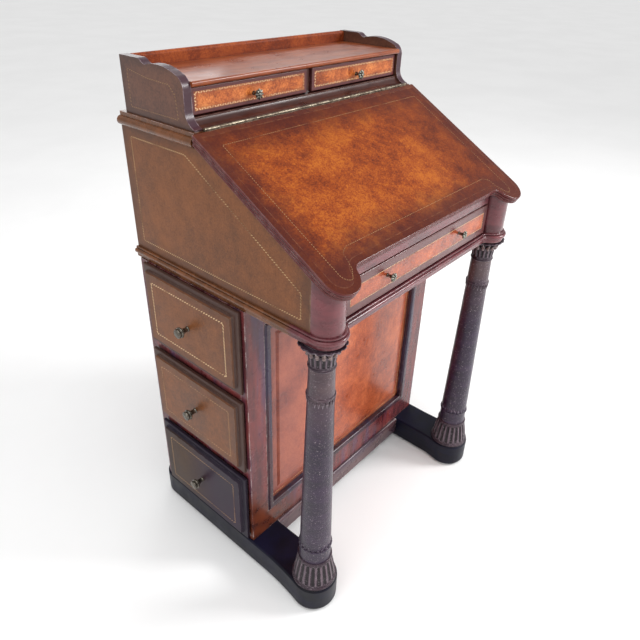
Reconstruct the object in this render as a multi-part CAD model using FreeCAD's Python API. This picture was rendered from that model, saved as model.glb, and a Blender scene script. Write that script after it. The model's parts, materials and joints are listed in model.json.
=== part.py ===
import FreeCAD, Part
import math
import os

from FreeCAD import Vector

# Davenport writing desk, leather clad: a sloping writing box with a small gallery on top,
# carried by two turned columns in front and a drawer pedestal behind, on two sled runners.
# Millimetres. X runs to the sitter's right, Y to the back and Z up. The desk is drawn about
# its own middle plane, and the finished pieces are moved so that the origin is under its middle.

# Writing box, which the rest of the desk lines up with
BOX_HALF = 299.0            # outer faces of the box sides, from the middle plane
BOX_FRONT_Y = 6.0           # face of the front drawer
BOX_DEPTH = 464.0           # drawer face to back
BOX_HEIGHT = 278.0          # underside of the box to its fixed top
BOX_BOARD = 18.0
TOP_BOARD = 16.0
TOP_DEPTH = 204.0           # hinge axis to the back
DRUM_R = 30.0               # round corner posts
DRUM_PROUD = 1.0            # past the box side
DRUM_BACK = 6.0             # drum axis behind the drawer face
MOULD_BAND_H = 8.0          # the bottom board's edge: band, torus and bead
MOULD_BAND_OUT = 3.0
MOULD_TORUS_H = 9.0
MOULD_TORUS_OUT = 8.0
MOULD_BEAD_H = 4.0
MOULD_BEAD_OUT = 4.0
MOULD_COVE_R = 16.0         # hollow between a round corner and the straight front
TORUS_R = 8.0               # half-round moulding along the top of the sides
TORUS_DROP = 15.0
FRONT_RAIL_SETBACK = 2.0
WELL_FLOOR = 8.0
ROUND_SHARE = 0.42          # of a plate's thickness, as the radius of its rounded edge

# Runners and columns
RUNNER_HEIGHT = 64.0
KNEE_HEIGHT = 586.0         # runners to the underside of the box
COLUMN_OUT = 2.0            # column axis from the drum axis
COLUMN_BACK = 4.0
SHAFT_BOTTOM_R = 32.0
SHAFT_TOP_R = 22.5
ASTRAGAL_R = 2.4
ASTRAGAL_DROP = 57.0        # upper ring below the capital
ASTRAGAL_FOOT = 34.0        # lower ring above the base
BASE_HEIGHT = 67.0
BASE_NECK_OUT = 1.0         # neck past the shaft, bell past the neck, ring past the bell
BASE_FLARE = 10.0
BASE_RING_OUT = 1.0
BASE_RING_BULGE = 2.0
BASE_RING_H = 6.0
BASE_SWELL = 1.0
BASE_COLLAR_H = 5.0
BASE_COLLAR_OUT = 2.0
BASE_FLUTES = 20
CAPITAL_HEIGHT = 52.0
CAPITAL_COLLAR_H = 5.0
CAPITAL_COLLAR_OUT = 1.8
CAPITAL_BELL_H = 25.0       # fluted part
CAPITAL_BELL_FLARE = 2.5
CAPITAL_BEAD_H = 5.0
CAPITAL_BEAD_OUT = 2.2
CAPITAL_FLUTES = 16
LEAF_SPREAD = 16.0          # leaf rim past the bell
LEAF_EDGE = 2.0
LEAF_NOTCH_R = 5.0          # notches between the leaf tips
LEAF_NOTCH_OUT = 3.0
LEAVES = 16
ABACUS_H = 3.0
ABACUS_OUT = 3.0            # past the drum above
FLUTE_R = 4.2
FLUTE_DEPTH = 1.8
FLUTE_END = 2.0             # plain margin at each end of a flute
RUNNER_MARGIN = 4.0         # round tip past the base ring
RUNNER_WAIST_OUT = 9.0      # bar narrower than the tip, outside and inside
RUNNER_WAIST_IN = 7.0
RUNNER_SWEEP_R = 600.0      # hollow from tip to bar, outside and inside
RUNNER_HOLLOW_R = 150.0
RUNNER_TAIL = 27.0          # behind the pedestal
RUNNER_EDGE_R = 4.0
RUNNER_FOOT_R = 12.0
RAIL_FLOOR_GAP = 20.0       # air under the cross rails
BASE_RAIL_THICK = 24.0
BASE_RAIL_PROUD = 7.0       # front cross rail stands proud of the pedestal front
BASE_RAIL_BEAD_R = 6.0

# Pedestal
PEDESTAL_OUT = 6.0          # past the box side
PEDESTAL_BACK_SET = 12.0    # in front of the box back
PEDESTAL_BOARD = 18.0
KNEE_DEPTH = 157.0          # drawer face back to the pedestal front
STILE_WIDTH = 46.0
BOTTOM_RAIL_H = 54.0
TOP_RAIL_H = 46.0
PANEL_MOULD_W = 16.0
PANEL_MOULD_PROUD = 3.0
PANEL_MOULD_R = 5.0
PANEL_THICK = 8.0
PANEL_FIELD_MARGIN = 22.0
PANEL_FIELD_RISE = 3.0
PANEL_FIELD_BEVEL = 6.0
DUST_BOARD = 10.0

# Side drawers
SIDE_TOP_MARGIN = 2.0       # above the top front, below the bottom one and between them
SIDE_BOTTOM_MARGIN = 8.0
SIDE_GAP = 21.0
SIDE_FRONT_MARGIN = 8.0     # from the pedestal's front and back
SIDE_BACK_MARGIN = 17.0
SIDE_LIP = 13.0             # how far a front covers its frame all round
SIDE_PLATE_T = 6.0          # flat outer part of a front, and the field that stands on it
SIDE_FIELD_RISE = 7.0
SIDE_FIELD_FOOT = 11.0
SIDE_FIELD_BEVEL = 3.0
SIDE_BOX_BEHIND = 34.0      # air behind a box, and above it
SIDE_BOX_DROP = 28.0
SIDE_AJAR = {"bottom": 3.0, "middle": 3.0, "top": 1.5}
FRONT_EDGE_R = 2.0

# Front drawer
FRONT_DRAWER_H = 65.0
FRONT_DRAWER_GAP = 5.0      # to the drums
FRONT_BOX_INSET = 20.0      # box narrower than the front, at each end
FRONT_BOX_BEHIND = 118.0
FRONT_BOX_DROP = 15.0
FRONT_KNOB_INSET = 115.0    # from the ends of the front
FRONT_KNOB_RISE = 4.0

# Lid and its hinge
LID_OVERHANG = 7.0          # past the box sides
LID_NOSE_OUT = 14.8         # front edge in front of the drawer and above its rail
LID_NOSE_RISE = 35.4
LID_LOBE_R = 36.0
LID_LOBE_FORWARD = 2.0
LID_COVE_R = 14.0
LID_THICK = 16.0
LID_REEDS = 3
LID_DROP = 1.5              # top of the lid below the hinge axis
LEATHER_MARGIN = 13.0
LEATHER_THICK = 1.2
LID_OPEN = 45.0             # degrees, where the stay stops the lid
LID_REST_GAP = 0.3
HINGE_RISE = 2.5            # hinge axis above the top board
HINGE_GAP = 4.0             # between the lid's end and the top board
HINGE_END = 15.0            # hinge shorter than the gallery, at each end
LEAF_HEIGHT = 14.0
LEAF_THICK = 1.2
KNUCKLE_R = 2.6
KNUCKLES = 20
KNUCKLE_PLAY = 0.4
PIN_R = 1.2
PIN_CLEARANCE = 0.05

STAY_CLEAR = 33.5           # lowest point of the stay's path above the well floor
STAY_WIDTH = 8.0
STAY_THICK = 3.0
STAY_INSET = 8.0            # stay from the inside of the box side
STAY_LUG = 4.0
STAY_FOOT = 36.0
STAY_PLAY = 0.5
KEEPER_HALF_ANGLE = 3.0
KEEPER_AT = 16.0            # degrees below the lid's slope
KEEPER_WALL = 4.0

# Gallery
GALLERY_HEIGHT = 93.0
GALLERY_INSET = 4.0         # inside the box sides
GALLERY_BOARD = 16.0
GALLERY_BACK_SET = 15.0     # in front of the box back
GALLERY_BACK_T = 12.0
GALLERY_SET = 26.0          # front behind the hinge axis
GALLERY_FOOT_SET = 5.0      # flared foot behind the hinge axis
GALLERY_FLOOR = 16.0
COVE_LIP = 2.5
CREST_FLAT = 48.0           # top of an end board, from the back: flat, step, hump and brow
CREST_STEP = 22.0
CREST_DROP = 8.0
CREST_HUMP = 4.0
BROW_DEPTH = 16.0
BROW_DROP = 13.0
BROW_FALL = 25.0
FLARE_RISE = 34.0
TRAY_DROP = 22.0
TRAY_THICK = 9.0
TRAY_NOSING = 4.0
DIVIDER = 12.0
GALLERY_FRONT_T = 12.0
GALLERY_KNOB_DROP = 4.0
GALLERY_SETBACK = 5.0
GALLERY_BOX_BEHIND = 12.0
GALLERY_BOX_DROP = 14.0

DRAWER_PLAY = 1.5           # round each drawer front or box
DRAWER_WALL = 9.0
DRAWER_BASE = 6.0
DRAWER_BASE_UP = 3.0        # drawer bottom above the lower edge of its sides
SLIDE_PLAY = 0.3

# Turned knobs: back plate, neck, disc, groove and domed head
SIDE_KNOB = dict(length=26.5, plate_r=7.0, plate_t=1.5, neck_r=5.5, head_r=11.0,
                 disc_z=15.0, disc_t=4.0, groove=1.6, crown_r=6.0, dome=1.0)
FRONT_KNOB = dict(length=18.0, plate_r=6.0, plate_t=2.0, neck_r=4.0, head_r=8.5,
                  disc_z=8.0, disc_t=3.0, groove=1.2, crown_r=2.0, dome=1.2)
GALLERY_KNOB = dict(length=18.0, plate_r=6.0, plate_t=2.0, neck_r=4.0, head_r=10.0,
                    disc_z=9.0, disc_t=3.0, groove=1.2, crown_r=2.0, dome=1.2)

# Heights that follow from those above
BOX_BOTTOM_Z = RUNNER_HEIGHT + KNEE_HEIGHT
BOX_TOP_Z = BOX_BOTTOM_Z + BOX_HEIGHT
BOX_FLOOR_Z = BOX_BOTTOM_Z + MOULD_BAND_H + MOULD_TORUS_H + MOULD_BEAD_H
DRAWER_TOP_Z = BOX_FLOOR_Z + FRONT_DRAWER_H + 2 * DRAWER_PLAY
WELL_TOP_Z = DRAWER_TOP_Z + WELL_FLOOR
HINGE_Z = BOX_TOP_Z + HINGE_RISE
GALLERY_FLOOR_Z = BOX_TOP_Z + GALLERY_FLOOR
GALLERY_TOP_Z = BOX_TOP_Z + GALLERY_HEIGHT
TRAY_Z = GALLERY_TOP_Z - TRAY_DROP
PANEL_BOTTOM = RUNNER_HEIGHT + BOTTOM_RAIL_H
PANEL_TOP = BOX_BOTTOM_Z - TOP_RAIL_H
SHAFT_LENGTH = KNEE_HEIGHT - BASE_HEIGHT - CAPITAL_HEIGHT

# Depths and widths that follow
BOX_BACK_Y = BOX_FRONT_Y + BOX_DEPTH
HINGE_Y = BOX_BACK_Y - TOP_DEPTH
DRUM_X = BOX_HALF + DRUM_PROUD - DRUM_R
DRUM_Y = BOX_FRONT_Y + DRUM_BACK
COLUMN_X = DRUM_X + COLUMN_OUT
COLUMN_Y = DRUM_Y + COLUMN_BACK
PEDESTAL_HALF = BOX_HALF + PEDESTAL_OUT
PEDESTAL_FRONT_Y = BOX_FRONT_Y + KNEE_DEPTH
PEDESTAL_BACK_Y = BOX_BACK_Y - PEDESTAL_BACK_SET
PANEL_HALF = PEDESTAL_HALF - STILE_WIDTH
BASE_NECK_R = SHAFT_BOTTOM_R + BASE_NECK_OUT
BASE_BELL_R = BASE_NECK_R + BASE_FLARE
BASE_RING_R = BASE_BELL_R + BASE_RING_OUT
RUNNER_TIP_R = BASE_RING_R + RUNNER_MARGIN
RUNNER_OUT = COLUMN_X + RUNNER_TIP_R - RUNNER_WAIST_OUT
RUNNER_IN = COLUMN_X - RUNNER_TIP_R + RUNNER_WAIST_IN
RUNNER_BACK_Y = PEDESTAL_BACK_Y + RUNNER_TAIL
GALLERY_HALF = BOX_HALF - GALLERY_INSET
GALLERY_INSIDE = GALLERY_HALF - GALLERY_BOARD
GALLERY_BACK_Y = BOX_BACK_Y - GALLERY_BACK_SET
GALLERY_FRONT_Y = HINGE_Y + GALLERY_SET
GALLERY_FOOT_Y = HINGE_Y + GALLERY_FOOT_SET
HINGE_LENGTH = 2 * (GALLERY_HALF - HINGE_END)
LID_HALF = BOX_HALF + LID_OVERHANG
LID_RUN = HINGE_Y - BOX_FRONT_Y + LID_NOSE_OUT
LID_FALL = HINGE_Z - DRAWER_TOP_Z - LID_NOSE_RISE
LID_SLOPE = math.degrees(math.atan2(LID_FALL, LID_RUN))
LID_FRONT = math.hypot(LID_FALL, LID_RUN)
LID_UNDER = -LID_DROP - LID_THICK
STAY_R = HINGE_Z - WELL_TOP_Z - STAY_CLEAR

# Drawer sizes that follow
SIDE_FRONT_Y0 = PEDESTAL_FRONT_Y + SIDE_FRONT_MARGIN
SIDE_FRONT_Y1 = PEDESTAL_BACK_Y - SIDE_BACK_MARGIN
SIDE_MIDDLE_Y = (SIDE_FRONT_Y0 + SIDE_FRONT_Y1) / 2
SIDE_FIRST_Z = RUNNER_HEIGHT + SIDE_BOTTOM_MARGIN
SIDE_ORDER = ("bottom", "middle", "top")
SIDE_PITCH = (BOX_BOTTOM_Z - SIDE_TOP_MARGIN - SIDE_FIRST_Z + SIDE_GAP) / len(SIDE_ORDER)
SIDE_FRONT_H = SIDE_PITCH - SIDE_GAP
SIDE_FRONT_T = SIDE_PLATE_T + SIDE_FIELD_RISE
SIDE_BOX_DEPTH = 2 * (PEDESTAL_HALF - PEDESTAL_BOARD) - SIDE_BOX_BEHIND
SIDE_BOX_H = SIDE_FRONT_H - 2 * SIDE_LIP - SIDE_BOX_DROP
FRONT_DRAWER_HALF = DRUM_X - DRUM_R - FRONT_DRAWER_GAP
FRONT_BOX_HALF = FRONT_DRAWER_HALF - FRONT_BOX_INSET
FRONT_BOX_DEPTH = BOX_DEPTH - 2 * BOX_BOARD - FRONT_BOX_BEHIND
FRONT_BOX_H = FRONT_DRAWER_H - FRONT_BOX_DROP
FRONT_KNOB_X = FRONT_DRAWER_HALF - FRONT_KNOB_INSET
GALLERY_FACE_Y = GALLERY_FRONT_Y + GALLERY_SETBACK
GALLERY_BOX_Y = GALLERY_FACE_Y + GALLERY_FRONT_T
GALLERY_BOX_DEPTH = GALLERY_BACK_Y - GALLERY_BACK_T - GALLERY_BOX_Y - GALLERY_BOX_BEHIND
GALLERY_BOX_H = TRAY_Z - TRAY_THICK - GALLERY_FLOOR_Z - GALLERY_BOX_DROP

SIDES = {"left": -1, "right": 1}
QUARTER = 1 - math.sqrt(0.5)    # how far the middle of a quarter round is from its square corner's sides
NEAR = 1e-6


def block(x0, x1, y0, y1, z0, z1):
    """Rectangular board between the given faces."""
    return Part.makeBox(x1 - x0, y1 - y0, z1 - z0, Vector(x0, y0, z0))


def mirrored(shape, side):
    """The shape on its own side: drawn on the right, mirrored for the left."""
    return shape if side > 0 else shape.mirror(Vector(0, 0, 0), Vector(1, 0, 0))


def placed(shape, x, y, z):
    """Copy of a piece moved to its place."""
    moved = shape.copy()
    moved.translate(Vector(x, y, z))
    return moved


def closed_face(start, moves):
    """Face inside a path of straight moves (end,) and arcs (through, end)."""
    edges = []
    here = start
    for move in moves:
        end = move[-1]
        if len(move) == 1:
            edges.append(Part.makeLine(here, end))
        else:
            edges.append(Part.Arc(here, move[0], end).toShape())
        here = end
    if here.distanceToPoint(start) > NEAR:
        edges.append(Part.makeLine(here, start))
    return Part.Face(Part.Wire(edges))


def turned(start, moves):
    """Solid of revolution about Z of a profile drawn as (radius, height) pairs."""
    def point(pair):
        return Vector(pair[0], 0, pair[1])
    face = closed_face(point(start), [tuple(point(p) for p in move) for move in moves])
    return face.revolve(Vector(0, 0, 0), Vector(0, 0, 1), 360)


def along_x(start, moves, x0, x1):
    """Prism along X of a profile drawn as (y, z) pairs."""
    def point(pair):
        return Vector(x0, pair[0], pair[1])
    face = closed_face(point(start), [tuple(point(p) for p in move) for move in moves])
    return face.extrude(Vector(x1 - x0, 0, 0))


def rounded(shape, radius, wanted):
    """Round the edges whose two ends both pass the test."""
    edges = [e for e in shape.Edges if all(wanted(v.Point) for v in e.Vertexes)]
    return shape.makeFillet(radius, edges)


def level_edges(shape, wanted):
    """Edges that keep one height and pass a test of their two ends."""
    level = [e for e in shape.Edges if abs(e.Vertexes[0].Z - e.Vertexes[-1].Z) < NEAR]
    return [e for e in level if wanted(e.Vertexes[0].Point, e.Vertexes[-1].Point)]


def ogee(start, end):
    """Two equal arcs between (y, z) points, level at both."""
    run, rise = end[0] - start[0], end[1] - start[1]
    radius = (run ** 2 + rise ** 2) / (4 * abs(rise))
    sag = math.copysign(radius - math.sqrt(radius ** 2 - (run / 4) ** 2), rise)
    middle = (start[0] + run / 2, start[1] + rise / 2)
    return [((start[0] + run / 4, start[1] + sag), middle), ((end[0] - run / 4, end[1] - sag), end)]


def hollow_quarter(start, end):
    """Hollow arc from the upper point, where it falls steeply, to the lower one in front of it."""
    through = (start[0] + (end[0] - start[0]) * QUARTER, end[1] + (start[1] - end[1]) * QUARTER)
    return through, end


def lobed_plate(half, back, front, lobe_y, lobe_r, cove_r, out, z0, z1):
    """Board with round front corners that hollow into a straight front edge, enlarged by out."""
    half, front, lobe_r, cove_r = half + out, front - out, lobe_r + out, cove_r - out
    lobe = Vector(half - lobe_r, lobe_y, z0)
    reach = lobe_r + cove_r
    drop = front - cove_r - lobe_y
    cove = Vector(lobe.x - math.sqrt(reach ** 2 - drop ** 2), front - cove_r, z0)
    touch = lobe + (cove - lobe) * (lobe_r / reach)
    lean = ((touch - cove).normalize() + Vector(0, 1, 0)).normalize()
    right = [Vector(half, lobe_y, z0), lobe + Vector(0, -lobe_r, 0), touch,
             cove + lean * cove_r, Vector(cove.x, front, z0)]
    left = [Vector(-p.x, p.y, p.z) for p in reversed(right)]
    face = closed_face(Vector(half, back, z0), [
        (right[0],), (right[1], right[2]), (right[3], right[4]),
        (left[0],), (left[1], left[2]), (left[3], left[4]),
        (Vector(-half, back, z0),)])
    return face.extrude(Vector(0, 0, z1 - z0))


def bullnosed(plate, back, thick):
    """Round the top and bottom edges of a lobed plate, but not its square back."""
    edges = level_edges(plate, lambda a, b: abs(a.y - back) > NEAR or abs(b.y - back) > NEAR)
    return plate.makeFillet(thick * ROUND_SHARE, edges)


def on_slope(shape):
    """Move a piece drawn flat, with the hinge axis along X, into the closed lid's place."""
    moved = shape.copy()
    moved.rotate(Vector(0, 0, 0), Vector(1, 0, 0), LID_SLOPE)
    moved.translate(Vector(0, HINGE_Y, HINGE_Z))
    return moved


def above_lid_line():
    """Everything above the closed lid's underside, less its resting gap."""
    depth = 2 * (LID_FRONT + LID_LOBE_R)
    under = LID_UNDER - LID_REST_GAP
    return on_slope(block(-2 * LID_HALF, 2 * LID_HALF, -depth, 0, under, under + depth))


# Base: runners and cross rails
def runner_hollow(tip, face_x, radius, outward):
    """Hollow that joins the runner's round tip to a straight face of its bar.

    Gives the hollow's end on the face, its middle and its end on the tip.
    """
    reach = RUNNER_TIP_R + radius
    centre_x = face_x + outward * radius
    centre = Vector(centre_x, tip.y + math.sqrt(reach ** 2 - (centre_x - tip.x) ** 2), 0)
    touch = tip + (centre - tip) * (RUNNER_TIP_R / reach)
    lean = ((touch - centre).normalize() + Vector(-outward, 0, 0)).normalize()
    return Vector(face_x, centre.y, 0), centre + lean * radius, touch


def runner(side):
    """Sled runner with a round front end that hollows into the straight bar on both sides."""
    tip = Vector(COLUMN_X, COLUMN_Y, 0)
    outer = runner_hollow(tip, RUNNER_OUT, RUNNER_SWEEP_R, 1)
    inner = runner_hollow(tip, RUNNER_IN, RUNNER_HOLLOW_R, -1)
    bar_r = (RUNNER_OUT - RUNNER_IN) / 2
    back = RUNNER_BACK_Y - bar_r
    face = closed_face(outer[0], [
        (Vector(RUNNER_OUT, back, 0),),
        (Vector(RUNNER_OUT - bar_r, RUNNER_BACK_Y, 0), Vector(RUNNER_IN, back, 0)),
        (inner[0],),
        (inner[1], inner[2]),
        (tip + Vector(0, -RUNNER_TIP_R, 0), outer[2]),
        (outer[1], outer[0])])
    solid = face.extrude(Vector(0, 0, RUNNER_HEIGHT))
    solid = solid.makeFillet(RUNNER_FOOT_R, level_edges(solid, lambda a, b: a.z < NEAR))
    solid = solid.makeFillet(RUNNER_EDGE_R, level_edges(solid, lambda a, b: a.z > RUNNER_HEIGHT - NEAR))
    return mirrored(solid, side)


def base_rails():
    """Cross rails under the pedestal's front and back, between the runners."""
    front_y = PEDESTAL_FRONT_Y - BASE_RAIL_PROUD
    front = block(-RUNNER_IN, RUNNER_IN, front_y, front_y + BASE_RAIL_THICK, RAIL_FLOOR_GAP, RUNNER_HEIGHT)
    front = rounded(front, BASE_RAIL_BEAD_R,
                    lambda p: abs(p.y - front_y) < NEAR and abs(p.z - RUNNER_HEIGHT) < NEAR)
    back = block(-RUNNER_IN, RUNNER_IN, PEDESTAL_BACK_Y - BASE_RAIL_THICK, PEDESTAL_BACK_Y,
                 RAIL_FLOOR_GAP, RUNNER_HEIGHT)
    return Part.makeCompound([front, back])


# Columns
def ring_cut(shape, tool, count):
    """Cut copies of a tool spaced evenly round Z."""
    for i in range(count):
        turn = tool.copy()
        turn.rotate(Vector(0, 0, 0), Vector(0, 0, 1), 360.0 * i / count)
        shape = shape.cut(turn)
    return shape


def fluted(shape, low_r, low_z, high_r, high_z, count):
    """Cut a ring of round-ended flutes along the slope between two radii."""
    inset = FLUTE_R + FLUTE_END
    slope = Vector(high_r - low_r, 0, high_z - low_z)
    outward = Vector(slope.z, 0, -slope.x).normalize()
    along = Vector(slope).normalize()
    start = Vector(low_r, 0, low_z) + along * inset + outward * (FLUTE_R - FLUTE_DEPTH)
    length = slope.Length - 2 * inset
    flute = Part.makeCylinder(FLUTE_R, length, start, along)
    for end in (start, start + along * length):
        flute = flute.fuse(Part.makeSphere(FLUTE_R, end))
    return ring_cut(shape, flute, count)


def on_column(shape, side, z):
    """Stand a turned piece on a column's axis."""
    return placed(shape, side * COLUMN_X, COLUMN_Y, z)


def column_base(side):
    """Ring, swelling fluted bell and collar below the shaft."""
    collar_z = BASE_HEIGHT - BASE_COLLAR_H
    swell = ((BASE_BELL_R + BASE_NECK_R) / 2 + BASE_SWELL, (BASE_RING_H + collar_z) / 2)
    shape = turned((0, 0), [
        ((BASE_RING_R, 0),),
        ((BASE_RING_R + BASE_RING_BULGE, BASE_RING_H / 2), (BASE_RING_R, BASE_RING_H)),
        ((BASE_BELL_R, BASE_RING_H),),
        (swell, (BASE_NECK_R, collar_z)),
        ((BASE_NECK_R + BASE_COLLAR_OUT, collar_z + BASE_COLLAR_H / 2), (BASE_NECK_R, BASE_HEIGHT)),
        ((0, BASE_HEIGHT),)])
    shape = fluted(shape, BASE_BELL_R, BASE_RING_H, BASE_NECK_R, collar_z, BASE_FLUTES)
    return on_column(shape, side, RUNNER_HEIGHT)


def column_shaft(side):
    """Tapering shaft with a small ring near each end."""
    def radius(z):
        return SHAFT_BOTTOM_R + (SHAFT_TOP_R - SHAFT_BOTTOM_R) * z / SHAFT_LENGTH

    def ring(z):
        return ((radius(z), z - ASTRAGAL_R),), ((radius(z) + ASTRAGAL_R, z), (radius(z), z + ASTRAGAL_R))
    moves = [((SHAFT_BOTTOM_R, 0),)]
    moves += ring(ASTRAGAL_FOOT)
    moves += ring(SHAFT_LENGTH - ASTRAGAL_DROP)
    moves += [((SHAFT_TOP_R, SHAFT_LENGTH),), ((0, SHAFT_LENGTH),)]
    return on_column(turned((0, 0), moves), side, RUNNER_HEIGHT + BASE_HEIGHT)


def column_capital(side):
    """Collar, fluted bell, bead, spreading leaf rim and abacus under the writing box."""
    bell_r = SHAFT_TOP_R + CAPITAL_BELL_FLARE
    bell_z = CAPITAL_COLLAR_H + CAPITAL_BELL_H
    bead_z = bell_z + CAPITAL_BEAD_H
    rim_r, rim_z = bell_r + LEAF_SPREAD, CAPITAL_HEIGHT - ABACUS_H
    leaf_rise = rim_z - LEAF_EDGE - bead_z
    sweep_r = (LEAF_SPREAD ** 2 + leaf_rise ** 2) / (2 * LEAF_SPREAD)
    half_turn = math.atan2(leaf_rise, sweep_r - LEAF_SPREAD) / 2
    leaf_mid = (bell_r + sweep_r * (1 - math.cos(half_turn)), bead_z + sweep_r * math.sin(half_turn))
    shape = turned((0, 0), [
        ((SHAFT_TOP_R, 0),),
        ((SHAFT_TOP_R + CAPITAL_COLLAR_OUT, CAPITAL_COLLAR_H / 2), (SHAFT_TOP_R, CAPITAL_COLLAR_H)),
        ((bell_r, bell_z),),
        ((bell_r + CAPITAL_BEAD_OUT, bell_z + CAPITAL_BEAD_H / 2), (bell_r, bead_z)),
        (leaf_mid, (rim_r, rim_z - LEAF_EDGE)),
        ((rim_r, rim_z),),
        ((DRUM_R + ABACUS_OUT, rim_z),),
        ((DRUM_R + ABACUS_OUT, CAPITAL_HEIGHT),),
        ((0, CAPITAL_HEIGHT),)])
    shape = fluted(shape, SHAFT_TOP_R, CAPITAL_COLLAR_H, bell_r, bell_z, CAPITAL_FLUTES)
    notch_at = Vector(rim_r + LEAF_NOTCH_OUT, 0, bead_z)
    notch = Part.makeCylinder(LEAF_NOTCH_R, leaf_rise + LEAF_EDGE, notch_at)
    shape = ring_cut(shape, notch, LEAVES)
    return on_column(shape, side, BOX_BOTTOM_Z - CAPITAL_HEIGHT)


# Pedestal
def opening_z(level):
    """Bottom and top of a side drawer's opening in the left frame."""
    bottom = SIDE_FIRST_Z + SIDE_PITCH * SIDE_ORDER.index(level)
    return bottom + SIDE_LIP, bottom + SIDE_FRONT_H - SIDE_LIP


def pedestal_front_frame():
    """Stiles and rails round the panel of the knee front."""
    back = PEDESTAL_FRONT_Y + PEDESTAL_BOARD
    frame = block(-PEDESTAL_HALF, PEDESTAL_HALF, PEDESTAL_FRONT_Y, back, RUNNER_HEIGHT, BOX_BOTTOM_Z)
    return frame.cut(block(-PANEL_HALF, PANEL_HALF, PEDESTAL_FRONT_Y, back, PANEL_BOTTOM, PANEL_TOP))


def pedestal_panel_moulding():
    """Moulding that lines the opening and stands a little proud of the frame."""
    y0 = PEDESTAL_FRONT_Y - PANEL_MOULD_PROUD
    y1 = PEDESTAL_FRONT_Y + PEDESTAL_BOARD - PANEL_THICK
    inner_half = PANEL_HALF - PANEL_MOULD_W
    low, high = PANEL_BOTTOM + PANEL_MOULD_W, PANEL_TOP - PANEL_MOULD_W
    ring = block(-PANEL_HALF, PANEL_HALF, y0, y1, PANEL_BOTTOM, PANEL_TOP)
    ring = ring.cut(block(-inner_half, inner_half, y0, y1, low, high))
    return rounded(ring, PANEL_MOULD_R, lambda p: abs(p.y - y0) < NEAR)


def pedestal_front_panel():
    """Panel behind the moulding, with a raised and bevelled field."""
    y1 = PEDESTAL_FRONT_Y + PEDESTAL_BOARD
    y0 = y1 - PANEL_THICK
    panel = block(-PANEL_HALF, PANEL_HALF, y0, y1, PANEL_BOTTOM, PANEL_TOP)

    def rectangle(y, margin):
        half, low, high = PANEL_HALF - margin, PANEL_BOTTOM + margin, PANEL_TOP - margin
        corners = [Vector(-half, y, low), Vector(half, y, low), Vector(half, y, high), Vector(-half, y, high)]
        return Part.makePolygon(corners + corners[:1])
    foot = PANEL_MOULD_W + PANEL_FIELD_MARGIN
    crest = rectangle(y0 - PANEL_FIELD_RISE, foot + PANEL_FIELD_BEVEL)
    return panel.fuse(Part.makeLoft([rectangle(y0, foot), crest], True))


def pedestal_left_frame():
    """Rails between the drawer openings, and the stiles in front of and behind them."""
    x0, x1 = -PEDESTAL_HALF, -PEDESTAL_HALF + PEDESTAL_BOARD
    front, rear = SIDE_FRONT_Y0 + SIDE_LIP, SIDE_FRONT_Y1 - SIDE_LIP
    levels = [RUNNER_HEIGHT]
    for name in SIDE_ORDER:
        levels += opening_z(name)
    levels.append(BOX_BOTTOM_Z)
    pieces = [block(x0, x1, front, rear, low, high) for low, high in zip(levels[::2], levels[1::2])]
    stiles = ((PEDESTAL_FRONT_Y + PEDESTAL_BOARD, front), (rear, PEDESTAL_BACK_Y - PEDESTAL_BOARD))
    pieces += [block(x0, x1, y0, y1, RUNNER_HEIGHT, BOX_BOTTOM_Z) for y0, y1 in stiles]
    return Part.makeCompound(pieces)


def pedestal_right_side():
    """Closed side board that carries the false drawer fronts."""
    return block(PEDESTAL_HALF - PEDESTAL_BOARD, PEDESTAL_HALF, PEDESTAL_FRONT_Y + PEDESTAL_BOARD,
                 PEDESTAL_BACK_Y - PEDESTAL_BOARD, RUNNER_HEIGHT, BOX_BOTTOM_Z)


def pedestal_back():
    """Back board."""
    return block(-PEDESTAL_HALF, PEDESTAL_HALF, PEDESTAL_BACK_Y - PEDESTAL_BOARD, PEDESTAL_BACK_Y,
                 RUNNER_HEIGHT, BOX_BOTTOM_Z)


def dust_boards():
    """Boards that the side drawers run on."""
    half = PEDESTAL_HALF - PEDESTAL_BOARD
    front, back = PEDESTAL_FRONT_Y + PEDESTAL_BOARD, PEDESTAL_BACK_Y - PEDESTAL_BOARD
    tops = [opening_z(name)[0] for name in SIDE_ORDER]
    return Part.makeCompound([block(-half, half, front, back, z - DUST_BOARD, z) for z in tops])


# Drawers
def eased_slab(width, height, y0, y1):
    """Slab in the XZ plane whose edges on the -Y face are eased."""
    slab = block(-width / 2, width / 2, y0, y1, -height / 2, height / 2)
    return rounded(slab, FRONT_EDGE_R, lambda p: abs(p.y - y0) < NEAR)


def drawer_boards(half, depth, height):
    """Two sides, a back and a bottom of an open drawer that runs back from Y = 0 on Z = 0."""
    wall = DRAWER_WALL
    return [block(-half, wall - half, 0, depth, 0, height),
            block(half - wall, half, 0, depth, 0, height),
            block(wall - half, half - wall, depth - wall, depth, 0, height),
            block(wall - half, half - wall, 0, depth - wall, DRAWER_BASE_UP, DRAWER_BASE_UP + DRAWER_BASE)]


def turned_knob(length, plate_r, plate_t, neck_r, head_r, disc_z, disc_t, groove, crown_r, dome):
    """Turned knob along -Y from the drawer face."""
    dome_r = head_r - groove
    groove_z = disc_z + disc_t
    dome_z = groove_z + groove
    shape = turned((0, 0), [
        ((plate_r, 0),),
        ((plate_r, plate_t),),
        ((neck_r, 2 * plate_t),),
        ((neck_r, disc_z - plate_t),),
        ((head_r, disc_z),),
        ((head_r, groove_z),),
        ((dome_r, groove_z),),
        ((dome_r, dome_z),),
        (((dome_r + crown_r) / 2 + dome, (dome_z + length) / 2 + dome), (crown_r, length)),
        ((0, length),)])
    shape.rotate(Vector(0, 0, 0), Vector(1, 0, 0), 90)
    return shape


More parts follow.
